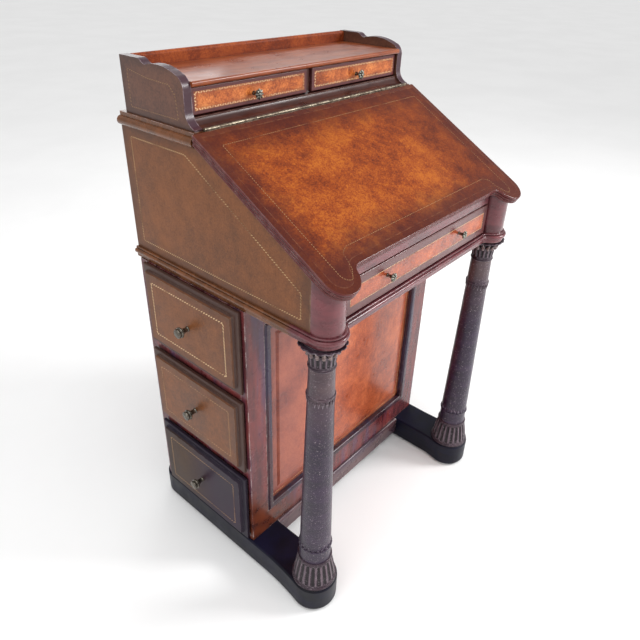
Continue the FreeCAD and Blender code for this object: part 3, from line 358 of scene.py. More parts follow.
class Effects:
    """Node groups that several finishes share, each built once."""

    def __init__(self) -> None:
        """Build the groups."""
        self.hide = self.build_hide()
        self.wear_and_corner_shade = self.build_wear_and_corner_shade()
        self.burnish = self.build_burnish()
        self.pebble = self.build_pebble()
        self.returns = self.build_returns()
        self.light_and_tone_blend = self.build_light_and_tone_blend()
        self.flutes = self.build_flutes()

    @staticmethod
    def build_hide() -> Tree:
        """Mottled, hand-stained hide: clouds of three tones, dark stains and a fine grain.

        Returns:
            The group, with the colour, a height for bump and the clouds' value.
        """
        inputs = {"Vector": "Vector", "Float": "Scale, Stain", "Color": "Light, Mid, Dark"}
        group = Group("hide mottle", inputs, "Color", "Height", "Cloud")
        given = group.given
        place, scale = given["Vector"], given["Scale"]

        def layer(finer: float, detail: float, rough: float) -> Socket:
            """Noise so many times finer than the clouds."""
            return group.noise(place, group.times(scale, finer), detail, rough)

        cloud, patch, stain = layer(1.0, 3.0, 0.55), layer(4.3, 7.0, 0.74), layer(1.9, 5.0, 0.62)
        dapple, grain = layer(17.0, 3.0, 0.6), layer(42.0, 2.0, 0.5)
        pores = group.add("TexVoronoi", {"Vector": place, "Scale": group.times(scale, 90.0)}).outputs["Distance"]
        mottle = group.plus(group.times(cloud, 0.5), group.times(patch, 0.5))
        for noise, share in ((dapple, 0.26), (grain, 0.46)):
            mottle = group.plus(mottle, group.times(group.minus(noise, 0.5), share))
        colour = group.mix(group.ease(mottle, 0.30, 0.53), given["Dark"], given["Mid"])
        colour = group.mix(group.ease(mottle, 0.46, 0.68), colour, given["Light"])
        spots = group.times(group.ease(stain, 0.60, 0.74), given["Stain"])
        colour = group.mix(spots, colour, given["Dark"])
        height = group.plus(group.times(grain, 0.6), group.times(pores, 0.4))
        return group.give(Color=colour, Height=height, Cloud=cloud)

    @staticmethod
    def build_wear_and_corner_shade() -> Tree:
        """Where hands and cloths rub a finish off its edges, and its corners darkened where ambient occlusion
        finds hollows: painted shade and grime.

        Returns:
            The group, with the shares of wear and of corner darkening.
        """
        group = Group("edge wear and corner shade", {"Vector": "Vector", "Float": "Radius"}, "Wear", "Corner")
        radius = group.given["Radius"]
        bevel = group.add("Bevel", {"Radius": radius}, samples=4).outputs["Normal"]
        face = group.add("NewGeometry").outputs["Normal"]
        hollow = {"Distance": group.times(radius, 4.0)}
        air = group.add("AmbientOcclusion", hollow, samples=4, only_local=False).outputs["AO"]
        edge = group.ease(group.dot(bevel, face), 0.985, 0.86)
        patchy = group.ease(group.noise(group.given["Vector"], 60.0, 4.0, 0.65), 0.40, 0.62)
        wear = group.times(group.times(edge, patchy), group.ease(air, 0.55, 0.85))
        # Corner darkening is painted shade and grime in hollows.
        return group.give(Wear=wear, Corner=group.ease(air, 0.75, 0.15))

    @staticmethod
    def build_burnish() -> Tree:
        """Dark burnish along a panel's edges, and a crisp border line at a given inset.

        Returns:
            The group, with the shares of burnish and of border.
        """
        inputs = {"Vector": "Vector", "Float": "Half Across, Half Up, Width, Inset"}
        group = Group("panel edge", inputs, "Burnish", "Border")
        given, crisp = group.given, 0.4 * MM
        place, width, inset = given["Vector"], given["Width"], given["Inset"]
        gaps = [group.minus(given[half], group.math("ABSOLUTE", part))
                for half, part in zip(("Half Across", "Half Up"), group.split(place))]
        gap = group.math("MINIMUM", *gaps)
        rag = group.minus(group.noise(place, 34.0, 5.0, 0.65), 0.5)
        ragged = group.plus(gap, group.times(rag, width))
        border = group.ease(gap, group.plus(inset, crisp), group.minus(inset, crisp))
        return group.give(Burnish=group.ease(ragged, width, 0.0), Border=border)

    @staticmethod
    def build_returns() -> Tree:
        """Edges and mouldings of a board: every face that turns away from the board's own direction.

        Returns:
            The group, with the share of edge.
        """
        group = Group("board edges", {"Vector": "Axis"}, "Edge")
        face = group.add("NewGeometry").outputs["Normal"]
        own = group.add("VectorTransform", {0: face}, vector_type="NORMAL", convert_from="WORLD",
                        convert_to="OBJECT")
        along = group.math("ABSOLUTE", group.dot(own.outputs[0], group.given["Axis"]))
        return group.give(Edge=group.ease(along, 0.97, 0.80))

    @staticmethod
    def build_light_and_tone_blend() -> Tree:
        """A second, clouded colour laid over the first past a place along one direction.

        Returns:
            The group, with the blended colour.
        """
        inputs = {"Vector": "Vector, Towards", "Float": "Start, End, Strength, Cloud",
                  "Color": "First, Second, Shadow"}
        group = Group("painted light and tone blend", inputs, "Color")
        given = group.given
        side = group.ease(group.dot(given["Vector"], given["Towards"]), given["Start"], given["End"])
        second = group.mix(group.ease(given["Cloud"], 0.35, 0.65), given["Shadow"], given["Second"])
        return group.give(Color=group.mix(group.times(side, given["Strength"]), given["First"], second))

    @staticmethod
    def build_flutes() -> Tree:
        """Painted shade in the hollows of a ring of flutes, and painted highlights on the ribs between them.

        Returns:
            The group, with the shaded colour.
        """
        inputs = {"Vector": "Vector, Axis", "Float": "Count, Low, High", "Color": "First, Hollow, Rib"}
        group = Group("shaded flutes", inputs, "Color")
        given, fade = group.given, 5.0 * MM
        place, low, high = given["Vector"], given["Low"], given["High"]
        out = group.add("VectorMath", {0: place, 1: given["Axis"]}, operation="SUBTRACT").outputs[0]
        around = group.add("TexGradient", {0: out}, gradient_type="RADIAL").outputs["Fac"]
        turn = group.plus(group.times(around, given["Count"]), 0.5)
        off = group.math("ABSOLUTE", group.minus(group.math("FRACT", turn), 0.5))
        height = group.split(place)["Z"]
        above = group.ease(height, low, group.plus(low, fade))
        below = group.ease(height, high, group.minus(high, fade))
        within = group.times(above, below)
        # Painted shade fills the hollows; painted highlights run along the ribs.
        hollow, rib = group.ease(off, 0.30, 0.16, 0.0, 0.9), group.ease(off, 0.34, 0.46, 0.0, 0.7)
        colour = group.mix(group.times(hollow, within), given["First"], given["Hollow"])
        return group.give(Color=group.mix(group.times(rib, within), colour, given["Rib"]))

    @staticmethod
    def build_pebble() -> Tree:
        """Pebbled, tooled lacquer: small lumps with pale specks on the tops of some of them.

        Returns:
            The group, with a height for bump and the share of specks.
        """
        group = Group("pebbled lacquer", {"Vector": "Vector", "Float": "Scale"}, "Height", "Speck")
        place, scale = group.given["Vector"], group.given["Scale"]
        cells = group.add("TexVoronoi", {"Vector": place, "Scale": scale}, feature="SMOOTH_F1")
        lump = group.ease(cells.outputs["Distance"], 0.75, 0.05)
        chance = group.noise(place, group.times(scale, 0.45), 2.0, 0.5)
        speck = group.times(group.ease(chance, 0.47, 0.66), group.ease(lump, 0.68, 0.94))
        return group.give(Height=lump, Speck=speck)


@dataclass(frozen=True)
class Finish:
    """What every finish has: its name, gloss, worn edges, corners darkened with painted shade and grime, and
    bump.
    """

    name: str
    roughness: Point
    coat: float
    metallic: float = 0.0
    specular: float = 0.35
    rub: float = 2.0 * MM
    # Share of corner darkening: painted shade and grime.
    shade_and_grime: float = 0.8
    bump: float = 0.04
    depth: float = 0.6 * MM

    def material(self, effects: Effects) -> Material:
        """Make the plain material, which each kind of finish does its own way."""
        raise NotImplementedError


class Surface(Graph):
    """A material under construction."""

    def __init__(self, finish: Finish, effects: Effects, suffix: str = "") -> None:
        """Start a material with its shader's plain values.

        Args:
            finish: what it is made for.
            effects: the shared node groups.
            suffix: added to the finish's name for one piece's own version.
        """
        self.finish, self.effects = finish, effects
        self.material = bpy.data.materials.new(finish.name + suffix)
        self.material.use_nodes = True
        super().__init__(self.material.node_tree)
        self.shader = self.tree.nodes["Principled BSDF"].inputs
        self.shader["Metallic"].default_value = finish.metallic
        self.shader["Coat Weight"].default_value = finish.coat
        self.shader["Coat Roughness"].default_value = COAT_ROUGHNESS
        self.shader["Specular IOR Level"].default_value = finish.specular
        self.place = self.object_place()

    def rubbed(self) -> Any:
        """Outputs of edge wear and of corner darkening, which is painted shade and grime, at the finish's own
        radius.
        """
        return self.use(self.effects.wear_and_corner_shade, Vector=self.place, Radius=self.finish.rub)

    def stretched(self, scale: Triple) -> Socket:
        """Object coordinates, scaled along each axis."""
        return self.add("Mapping", {"Vector": self.place, "Scale": scale}).outputs[0]

    def close(self, colour: Socket, cloud: Socket, height: Socket, bump: float) -> Material:
        """Feed the shader.

        Args:
            colour: the surface's colour.
            cloud: the noise that its roughness follows.
            height: what its bump follows.
            bump: how strong the bump is, or 0 for none.

        Returns:
            The finished material.
        """
        self.feed(self.shader["Base Color"], colour)
        self.feed(self.shader["Roughness"], self.ease(cloud, 0.3, 0.7, *self.finish.roughness))
        if bump:
            inputs = {"Strength": bump, "Distance": self.finish.depth, "Height": height}
            self.feed(self.shader["Normal"], self.add("Bump", inputs).outputs["Normal"])
        return self.material


@dataclass(frozen=True)
class SideBlend:
    """A second colour past a given place along one direction: on the lid, painted shade towards the right and
    heavier burnish towards the back; on the front panel, a painted sheen; on the bottom drawer, painted shade
    and cool light; on the box's edges, the finish's own second tone.
    """

    colour: str
    shadow: str
    towards: Triple
    start: float
    reach: float = 0.02
    strength: float = 1.0

    def over(self, surface: Surface, colour: Socket, cloud: Socket) -> Socket:
        """Lay the second colour, clouded with its shadow, over the first.

        Args:
            surface: the material under construction.
            colour: the first colour.
            cloud: the noise that mixes the second colour with its shadow.

        Returns:
            The blended colour.
        """
        return surface.use(surface.effects.light_and_tone_blend, Vector=surface.place, Towards=self.towards, Start=self.start,
                           End=self.start + self.reach, Strength=self.strength, Cloud=cloud, First=colour,
                           Second=paint(self.colour), Shadow=paint(self.shadow))["Color"]


@dataclass(frozen=True)
class Flutes:
    """A ring of flutes round an upright axis, between two heights, painted with shade in its hollows and
    highlights on its ribs.
    """

    axis: Vector
    count: int
    low: float
    high: float
    # Colours of the painted shade in the hollows and the painted highlights on the ribs.
    hollow: str = "120b10"
    rib: str = "77666f"

    def over(self, surface: Surface, colour: Socket) -> Socket:
        """Paint shade into the flutes' hollows and highlights onto their ribs.

        Args:
            surface: the material under construction.
            colour: its colour so far.

        Returns:
            The shaded colour.
        """
        return surface.use(surface.effects.flutes, Vector=surface.place, Axis=self.axis, Count=self.count,
                           Low=self.low, High=self.high, First=colour, Hollow=paint(self.hollow),
                           Rib=paint(self.rib))["Color"]


@dataclass(frozen=True, kw_only=True)
class Hide(Finish):
    """Stained leather, with optional burnish and border on one flat panel."""

    light: str
    mid: str
    dark: str
    edge: str
    border: str
    worn: str = "b98a63"
    scale: float = 8.0
    stain: float = 0.25
    burnish: float = 0.5
    wear: float = 0.35
    returns: float = 0.0
    blends: tuple[SideBlend, ...] = ()
    rub: float = 2.5 * MM
    shade_and_grime: float = 0.75
    bump: float = 0.22
    depth: float = 0.5 * MM

    def material(self, effects: Effects, suffix: str = "", panel: Panel | None = None, width: float = 0.0,
                 inset: float = -1.0) -> Material:
        """Make the material.

        Args:
            effects: the shared node groups.
            suffix: names one panel's own version.
            panel: the flat face that is burnished along its edges.
            width: how far the burnish reaches in.
            inset: where the coloured border ends, or below zero for none.

        Returns:
            The finished material.
        """
        surface = Surface(self, effects, suffix)
        hide = surface.use(effects.hide, Vector=surface.place, Scale=self.scale, Light=paint(self.light),
                           Mid=paint(self.mid), Dark=paint(self.dark), Stain=self.stain)
        rubbed = surface.rubbed()
        colour, cloud, wear = hide["Color"], hide["Cloud"], rubbed["Wear"]
        for blend in self.blends:
            colour = blend.over(surface, colour, cloud)
        if panel is not None:
            turn = panel.turn()
            own = surface.add("Mapping", {"Vector": surface.place, "Location": -(turn @ panel.centre),
                                          "Rotation": turn.to_euler()})
            rim = surface.use(effects.burnish, Vector=own.outputs[0], Half_Across=panel.half_across,
                              Half_Up=panel.half_up, Width=width, Inset=inset)
            colour = surface.lay(colour, self.edge, rim["Burnish"], self.burnish)
            if inset > 0:
                trim = surface.mix(cloud, paint(self.border), paint(self.edge))
                colour = surface.mix(rim["Border"], colour, trim)
            if self.returns:
                edge = surface.use(effects.returns, Axis=panel.out())["Edge"]
                colour = surface.lay(colour, self.border, edge, self.returns)
                wear = surface.times(wear, edge)
        # Corners darkened towards the edge colour: painted shade and grime.
        colour = surface.lay(colour, self.edge, rubbed["Corner"], self.shade_and_grime)
        colour = surface.lay(colour, self.worn, wear, self.wear)
        return surface.close(colour, cloud, hide["Height"], self.bump)


@dataclass(frozen=True, kw_only=True)
class Lacquer(Finish):
    """Dark lacquer over wood, streaked with a second tone and rubbed pale on its edges."""

    base: str
    second: str
    worn: str
    wear: float = 0.7
    third: str = "4e3852"
    tint: float = 0.0
    streak: Triple = (5.0, 5.0, 18.0)
    pebble: float = 0.0
    pebble_scale: float = 420.0
    speck: str = "a2929a"
    speck_share: float = 0.65
    blends: tuple[SideBlend, ...] = ()

    def material(self, effects: Effects, suffix: str = "", flutes: Flutes | None = None) -> Material:
        """Make the material.

        Args:
            effects: the shared node groups.
            suffix: names one piece's own version.
            flutes: the flutes that are shaded.

        Returns:
            The finished material.
        """
        surface = Surface(self, effects, suffix)
        streaked = surface.stretched(self.streak)
        streaks = surface.noise(streaked, 3.0, 5.0, 0.62)
        clouds = surface.noise(surface.place, 26.0, 4.0, 0.6)
        mottle = surface.plus(surface.times(streaks, 0.75), surface.times(clouds, 0.25))
        colour = surface.mix(surface.ease(mottle, 0.36, 0.64), paint(self.base), paint(self.second))
        if self.tint:
            veins = surface.ease(surface.noise(streaked, 1.7, 4.0, 0.6), 0.50, 0.64)
            colour = surface.lay(colour, self.third, veins, self.tint)
        for blend in self.blends:
            colour = blend.over(surface, colour, clouds)
        if flutes is not None:
            colour = flutes.over(surface, colour)
        rubbed = surface.rubbed()
        # Corners darkened towards near black: painted shade and grime.
        colour = surface.lay(colour, SHADE_AND_GRIME, rubbed["Corner"], self.shade_and_grime)
        colour = surface.lay(colour, self.worn, rubbed["Wear"], self.wear)
        height = clouds
        if self.pebble:
            lumps = surface.use(effects.pebble, Vector=surface.place, Scale=self.pebble_scale)
            colour = surface.lay(colour, self.speck, lumps["Speck"], self.speck_share)
            height = lumps["Height"]
        return surface.close(colour, clouds, height, max(self.bump, self.pebble))


@dataclass(frozen=True, kw_only=True)
class TwoTone(Finish):
    """A second tone in patches or along a grain, and corners darkened with that tone, or with one of their own:
    tarnish in the hollows of metal, painted shade and grime elsewhere.
    """

    base: str
    second: str
    corner: str | None = None
    amount: float = 1.0
    limits: Point = (0.35, 0.65)
    stretch: Triple = (1.0, 1.0, 1.0)
    scale: float
    detail: float
    rough: float = 0.65

    def material(self, effects: Effects) -> Material:
        """Make the material.

        Args:
            effects: the shared node groups.

        Returns:
            The finished material.
        """
        surface = Surface(self, effects)
        patch = surface.noise(surface.stretched(self.stretch), self.scale, self.detail, self.rough)
        colour = surface.lay(paint(self.base), self.second, surface.ease(patch, *self.limits), self.amount)
        # Darkened corners: tarnish in the metals' hollows, painted shade and grime on wood and gilt.
        colour = surface.lay(colour, self.corner or self.second, surface.rubbed()["Corner"], self.shade_and_grime)
        return surface.close(colour, patch, patch, self.bump)


@dataclass(frozen=True, kw_only=True)
class Metal(TwoTone):
    """Aged metal with tarnish in patches and in its hollows."""

    limits: Point = (0.35, 0.62)
    scale: float = 140.0
    detail: float = 5.0
    rub: float = 2.2 * MM
    shade_and_grime: float = 1.0
    bump: float = 0.25
    depth: float = 0.4 * MM


@dataclass(frozen=True, kw_only=True)
class Wood(TwoTone):
    """Plain oiled drawer wood with a straight grain, fine across the boards and long along them."""

    base: str = "7c5635"
    second: str = "a67b50"
    corner: str = "2c1a10"
    stretch: Triple = (3.0, 46.0, 46.0)
    scale: float = 2.4
    detail: float = 6.0
    shade_and_grime: float = 0.6
    bump: float = 0.2
    depth: float = 0.5 * MM


@dataclass(frozen=True, kw_only=True)
class Gilt(TwoTone):
    """Gold leaf of the tooled lines, worn through in places."""

    limits: Point = (0.48, 0.66)
    scale: float = 24.0
    detail: float = 4.0
    rough: float = 0.6
    rub: float = 0.5 * MM
    shade_and_grime: float = 0.3
    bump: float = 0.0


LEATHER = Hide("lid hide", (0.38, 0.52), 0.05, specular=0.2, light="a95a17", mid="883a0c", dark="581f08",
               edge="41130d", border="561e1e", scale=9.0, stain=0.5, burnish=0.88)
LID_RIM = replace(LEATHER, name="lid rim", roughness=(0.2, 0.3), coat=0.08, specular=0.3, worn="c8aca8",
                  wear=0.9, returns=1.0)
ORANGE = Hide("orange hide", (0.26, 0.40), 0.36, light="c66a3e", mid="a64c28", dark="6e2a18", edge="4a1c1c",
              border="683a3a", scale=11.0, stain=0.35, burnish=0.75)
TAWNY = replace(ORANGE, name="tawny hide", coat=0.25, light="dd8a46", mid="bc6029", dark="763211")
RUSSET = replace(ORANGE, name="russet hide", roughness=(0.42, 0.55), coat=0.0, specular=0.15, light="9e4e22",
                 mid="80381a", dark="521f10")
# The left part of the front panel turns pinker and duller: a painted sheen.
PANEL_HIDE = replace(ORANGE, name="panel hide", burnish=0.4, blends=(
    SideBlend("8a4a42", "6a302e", LEFTWARDS, start=0.05, reach=0.13, strength=0.62),))
OLIVE = Hide("olive hide", (0.34, 0.46), 0.05, specular=0.3, light="834f2a", mid="754524", dark="5c361c",
             edge="3e2a24", border="4b3129", worn="a58c74")
# Its pale edges are wear and also painted highlights.
GALLERY_HIDE = Hide("gallery hide", (0.30, 0.42), 0.2, light="6a4433", mid="5c3a2c", dark="4a2d24",
                    edge="35221f", border="3c2430", worn="c4b0b4", returns=0.9, wear=0.8)
# The bottom drawer's darker copy of the olive hide, turning blue-purple towards the front: painted shade and
# cool light low down.
COOL_SHADED_HIDE = Hide("cool shaded hide", (0.36, 0.48), 0.0, specular=0.2, light="4c3521", mid="422d1e", dark="342319",
            edge="221b28", border="261e2c", worn="8c8088", scale=7.0, stain=0.3, blends=(
                SideBlend("332237", "281d2d", FORWARDS, start=-0.16, reach=0.13, strength=0.92),))
PLUM = Lacquer("plum lacquer", (0.20, 0.34), 0.36, base="50242a", second="72363c", worn="c4aaa8")
FRAME = Lacquer("pedestal lacquer", (0.22, 0.36), 0.22, specular=0.3, base="4c2026", second="7c3836",
                worn="d2c4bf", wear=0.9, rub=3.0 * MM, tint=0.75, streak=(16.0, 16.0, 2.0))
BOARDS = replace(FRAME, name="board lacquer", base="46202a", second="642e31", tint=0.2)
MOULDING = replace(FRAME, name="panel moulding lacquer", base="2c1a24", second="4c2a30", third="2e2a44")
RAIL = replace(FRAME, name="rail lacquer", base="463036", second="664a4c", third="4a3c4a",
               streak=(2.0, 16.0, 16.0))
TRAY = Lacquer("tray lacquer", (0.27, 0.37), 0.2, base="723319", second="904a26", worn="ab8878", bump=0.008,
               streak=(4.0, 14.0, 14.0))
LEDGE = replace(TRAY, name="ledge lacquer", base="341814", second="48221a")
# Blue-black; the blue is partly the runners' own colour and partly a painted cool tint of the light low down.
RUNNER = Lacquer("runner lacquer", (0.34, 0.46), 0.0, specular=0.2, base="070612", second="0c0a22",
                 worn="6a6678", wear=0.5)
# Paler towards the top of the columns; its pale edges are wear and also painted highlights on the carving.
CARVED = Lacquer("column lacquer", (0.28, 0.42), 0.15, specular=0.4, base="1e1026", second="2e1a36",
                 worn="b4a4b0", wear=0.9, shade_and_grime=0.45, pebble=0.7, blends=(
                     SideBlend("66504e", "4c383a", UPWARDS, start=0.42, reach=0.2, strength=0.7),))
# The fluted ends: full corner darkening and pale ribs, which are painted shade in the hollows and painted
# highlights on the ribs as well as grime and wear.
FLUTED = replace(CARVED, name="fluted lacquer", roughness=(0.3, 0.42), coat=0.05, specular=0.28, base="2a1c27",
                 second="403039", worn="c4b4be", wear=0.5, shade_and_grime=1.0, pebble=0.1, blends=())
# A paler copy of the column finish for the beads and fronds in the box's shade: painted light.
LIT_CARVED = replace(CARVED, name="lit carving lacquer", base="6a5456", second="8a7672", worn="e4d8d8", wear=1.0,
                 shade_and_grime=0.2, pebble=0.2, blends=())
BRASS = Metal("aged brass", (0.30, 0.5), 0.0, 0.7, base="948a78", second="3a2a22", amount=0.85)
BRONZE = Metal("dark bronze", (0.14, 0.28), 0.0, 0.9, base="7c766c", second="17130f", amount=0.55)
PEWTER = Metal("aged pewter", (0.24, 0.40), 0.0, 0.85, base="a8a79c", second="34322c", amount=0.75)
WOOD = Wood("drawer wood", (0.45, 0.65), 0.0)
DEEP_WOOD = replace(WOOD, name="deep drawer wood", stretch=(46.0, 3.0, 46.0))
GOLD = Gilt("gold leaf", (0.32, 0.5), 0.0, 0.15, base="eccb9c", second="9c744c")
AGED_GOLD = replace(GOLD, name="aged gold", base="c4a274", second="80603f")
DULL_GOLD = replace(GOLD, name="dull gold", roughness=(0.36, 0.5), base="a8835a", second="6a4a34")


@dataclass(frozen=True)
class Tooling:
    """A tooled line of small gilt dashes."""

    pitch: float
    length: float
    width: float
    slant: Slant = Slant.ROPE
    rise: float = 0.35 * MM

    def run(self, mesh: Shape, panel: Panel, path: Sequence[Point]) -> None:
        """Lay dashes along a closed path on a panel.

        Args:
            mesh: where the dashes go.
            panel: the face that carries them.
            path: the path's corners on the panel.
        """
        size = Matrix.Diagonal((self.length, self.width, self.rise, 1.0))
        for start, end in zip(path, [*path[1:], path[0]]):
            a, b = Vector(start), Vector(end)
            count = max(1, round((b - a).length / self.pitch))
            angle = math.atan2(b.y - a.y, b.x - a.x)
            for i in range(count):
                lean = angle + math.radians(self.slant.value[i % 2])
                basis = panel.turn().transposed() @ Matrix.Rotation(lean, 3, "Z")
                spot = Matrix.Translation(panel.at(a.lerp(b, (i + 0.5) / count)))
                bmesh.ops.create_cube(mesh, size=1.0, matrix=spot @ basis.to_4x4() @ size)


class Workshop:
    """The loaded desk, and what turns meshes into pieces of it."""

    def __init__(self) -> None:
        """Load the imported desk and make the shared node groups."""
        self.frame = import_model()
        self.cad_box = [list(corner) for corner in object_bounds()]
        self.effects = Effects()
        self.made: dict[Finish, Material] = {}

    def material(self, finish: Finish) -> Material:
        """A finish's plain material, made once.

        Args:
            finish: the finish.

        Returns:
            The material that all its users share.
        """
        if finish not in self.made:
            self.made[finish] = finish.material(self.effects)
        return self.made[finish]

    def dress(self, material: Material | Finish, *nodes: str) -> None:
        """Put a material, or a finish's plain one, on CAD nodes.

        Args:
            material: what goes on.
            nodes: the nodes' names.
        """
        if isinstance(material, Finish):
            material = self.material(material)
        for name in nodes:
            mesh = self.frame["nodes"][name].data
            mesh.materials.clear()
            mesh.materials.append(material)

    def clad(self, node: str, facing: Facing, hide: Hide, suffix: str, width: float,
             inset: float = -1.0) -> None:
        """Dress a board in hide that is burnished along the edges of its face.

        Args:
            node: the board's node.
            facing: which way its face looks.
            hide: the leather.
            suffix: names the board's own version of the leather.
            width: how far the burnish reaches in.
            inset: where the coloured border ends, or below zero for none.
        """
        self.dress(hide.material(self.effects, suffix, Panel.of_node(node, facing), width, inset), node)

    def piece(self, name: str, mesh: Shape, finish: Finish, body: str, slot: Slot, replaced: Sequence[str] = (),
              smooth: bool = True) -> None:
        """Make a piece of the desk.

        Args:
            name: the piece's name.
            mesh: its shape, in the desk's own frame; freed afterwards.
            finish: its finish.
            body: the CAD body that it rides on.
            slot: the record's slot; not used.
            replaced: CAD nodes that it stands for.
            smooth: whether its faces are shaded smooth.
        """
        for face in mesh.faces:
            face.smooth = smooth
        data = bpy.data.meshes.new(name)
        mesh.to_mesh(data)
        mesh.free()
        data.materials.append(self.material(finish))
        item = add_object(name, data)
        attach(item, body)
        if replaced:
            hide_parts(*replaced)
        LOG.info("%s rides on %s with %d faces", name, body, len(data.polygons))

    def gild(self, name: str, line: Tooling, gold: Gilt, paths: Sequence[tuple[Panel, Sequence[Point]]],
             body: str = "desk") -> None:
        """Make a piece of tooled lines.

        Args:
            name: the piece's name.
            line: how the lines are tooled.
            gold: their leaf.
            paths: each panel and the closed path on it.
            body: the CAD body that the piece rides on.
        """
        mesh = bmesh.new()
        for panel, path in paths:
            line.run(mesh, panel, path)
        self.piece(name, mesh, gold, body, Slot.BRASS, smooth=False)


def turned(profile: Sequence[Point], steps: int = 40) -> Shape:
    """Turn a profile about Z.

    Args:
        profile: radius and height pairs in millimetres, from axis to axis.
        steps: how many faces go round.

    Returns:
        The closed shape, in metres, on the origin.
    """
    mesh = bmesh.new()
    points = [mesh.verts.new((r * MM, 0.0, z * MM)) for r, z in profile]
    edges = [mesh.edges.new(pair) for pair in zip(points, points[1:])]
    bmesh.ops.spin(mesh, geom=points + edges, cent=(0, 0, 0), axis=(0, 0, 1), angle=math.tau, steps=steps,
                   use_merge=True, use_duplicate=False)
    bmesh.ops.remove_doubles(mesh, verts=mesh.verts, dist=1e-6)
    bmesh.ops.recalc_face_normals(mesh, faces=mesh.faces)
    return mesh


def add_copy(target: Shape, shape: Shape, matrix: Matrix) -> None:
    """Add a moved copy of one shape to another.

    Args:
        target: where the copy goes.
        shape: what is copied.
        matrix: how the copy is moved.
    """
    data = bpy.data.meshes.new("copy")
    shape.to_mesh(data)
    data.transform(matrix)
    target.from_mesh(data)
    bpy.data.meshes.remove(data)


@dataclass(frozen=True)
class Knobs:
    """The desk's turned and cast knobs; profiles are radius and height pairs in millimetres."""

    shop: Workshop
    side: tuple[Point, ...] = (
        (0, 0), (5.4, 0), (5.6, 0.4), (5.4, 1.0), (4.7, 1.8), (4.4, 4.0), (4.9, 9.0), (5.6, 11.2), (6.6, 12.1),
        (7.4, 13.0), (7.4, 14.0), (6.7, 14.8), (8.2, 15.2), (10.2, 15.9), (11.0, 16.9), (11.0, 18.5),
        (10.2, 19.5), (8.6, 19.9), (8.2, 20.5), (9.0, 21.1), (9.7, 22.1), (9.7, 24.1), (9.0, 25.4),
        (7.8, 25.9), (7.2, 25.5), (6.4, 25.5), (5.4, 26.1), (3.0, 26.5), (0, 26.5))
    stem: tuple[Point, ...] = (
        (0, 0), (3.8, 0), (4.0, 0.5), (3.8, 1.2), (3.2, 2.0), (3.1, 4.0), (3.7, 8.0), (4.8, 9.6), (7.0, 11.0),
        (8.0, 12.0), (7.4, 13.4), (4.2, 14.4), (0, 14.6))
    stem_steps: int = 32
    petals: int = 8
    petal_spot: Triple = (6.2 * MM, 0.0, 13.8 * MM)
    petal_tilt: float = math.radians(16.0)
    petal_size: Triple = (3.7 * MM, 1.9 * MM, 2.0 * MM)
    boss_spot: Triple = (0.0, 0.0, 14.9 * MM)
    boss_radius: float = 3.0 * MM

    def post(self) -> Shape:
        """Turned stem of a cast knob."""
        return turned(self.stem, self.stem_steps)

    def rosette(self) -> Shape:
        """Cast petals and boss that crown a stem.

        Returns:
            The crown, along Z above the origin.
        """
        mesh, ball = bmesh.new(), bmesh.new()
        bmesh.ops.create_uvsphere(ball, u_segments=12, v_segments=8, radius=1.0)
        tilt = Matrix.Rotation(self.petal_tilt, 4, "Y")
        petal = Matrix.Translation(self.petal_spot) @ tilt @ Matrix.Diagonal((*self.petal_size, 1.0))
        for i in range(self.petals):
            add_copy(mesh, ball, Matrix.Rotation(math.tau * i / self.petals, 4, "Z") @ petal)
        add_copy(mesh, ball, Matrix.Translation(self.boss_spot) @ Matrix.Scale(self.boss_radius, 4))
        ball.free()
        return mesh

    @staticmethod
    def on(shape: Shape, spots: Sequence[Spot], size: float = 1.0) -> Shape:
        """Copies of one knob at several faces; the shape is freed.

        Args:
            shape: the knob along Z.
            spots: where each stands, and the way it points.
            size: how wide they are, as a share of the shape's own width.

        Returns:
            All the copies in one shape.
        """
        mesh = bmesh.new()
        for point, direction in spots:
            turn = direction.to_track_quat("Z", "Y").to_matrix().to_4x4()
            add_copy(mesh, shape, Matrix.Translation(point) @ turn @ Matrix.Diagonal((size, size, 1.0, 1.0)))
        shape.free()
        return mesh

    def hang_cast(self, names: tuple[str, str], spots: Sequence[Spot], body: str, node: str,
                  size: float = 1.0) -> None:
        """Fit cast rosettes on dark stems.

        Args:
            names: the piece of rosettes and the piece of stems.
            spots: where each knob stands, and the way it points.
            body: the CAD body that they ride on.
            node: the CAD node that they stand for.
            size: how wide they are, as a share of the full width.
        """
        rosettes, stems = self.on(self.rosette(), spots, size), self.on(self.post(), spots, size)
        self.shop.piece(names[0], rosettes, PEWTER, body, Slot.PEWTER, (node,))
        self.shop.piece(names[1], stems, BRONZE, body, Slot.BRONZE)

    def hang_turned(self, name: str, spots: Sequence[Spot], body: str, node: str) -> None:
        """Fit turned knobs that stand for a CAD node."""
        self.shop.piece(name, self.on(turned(self.side), spots), BRONZE, body, Slot.BRONZE, (node,))


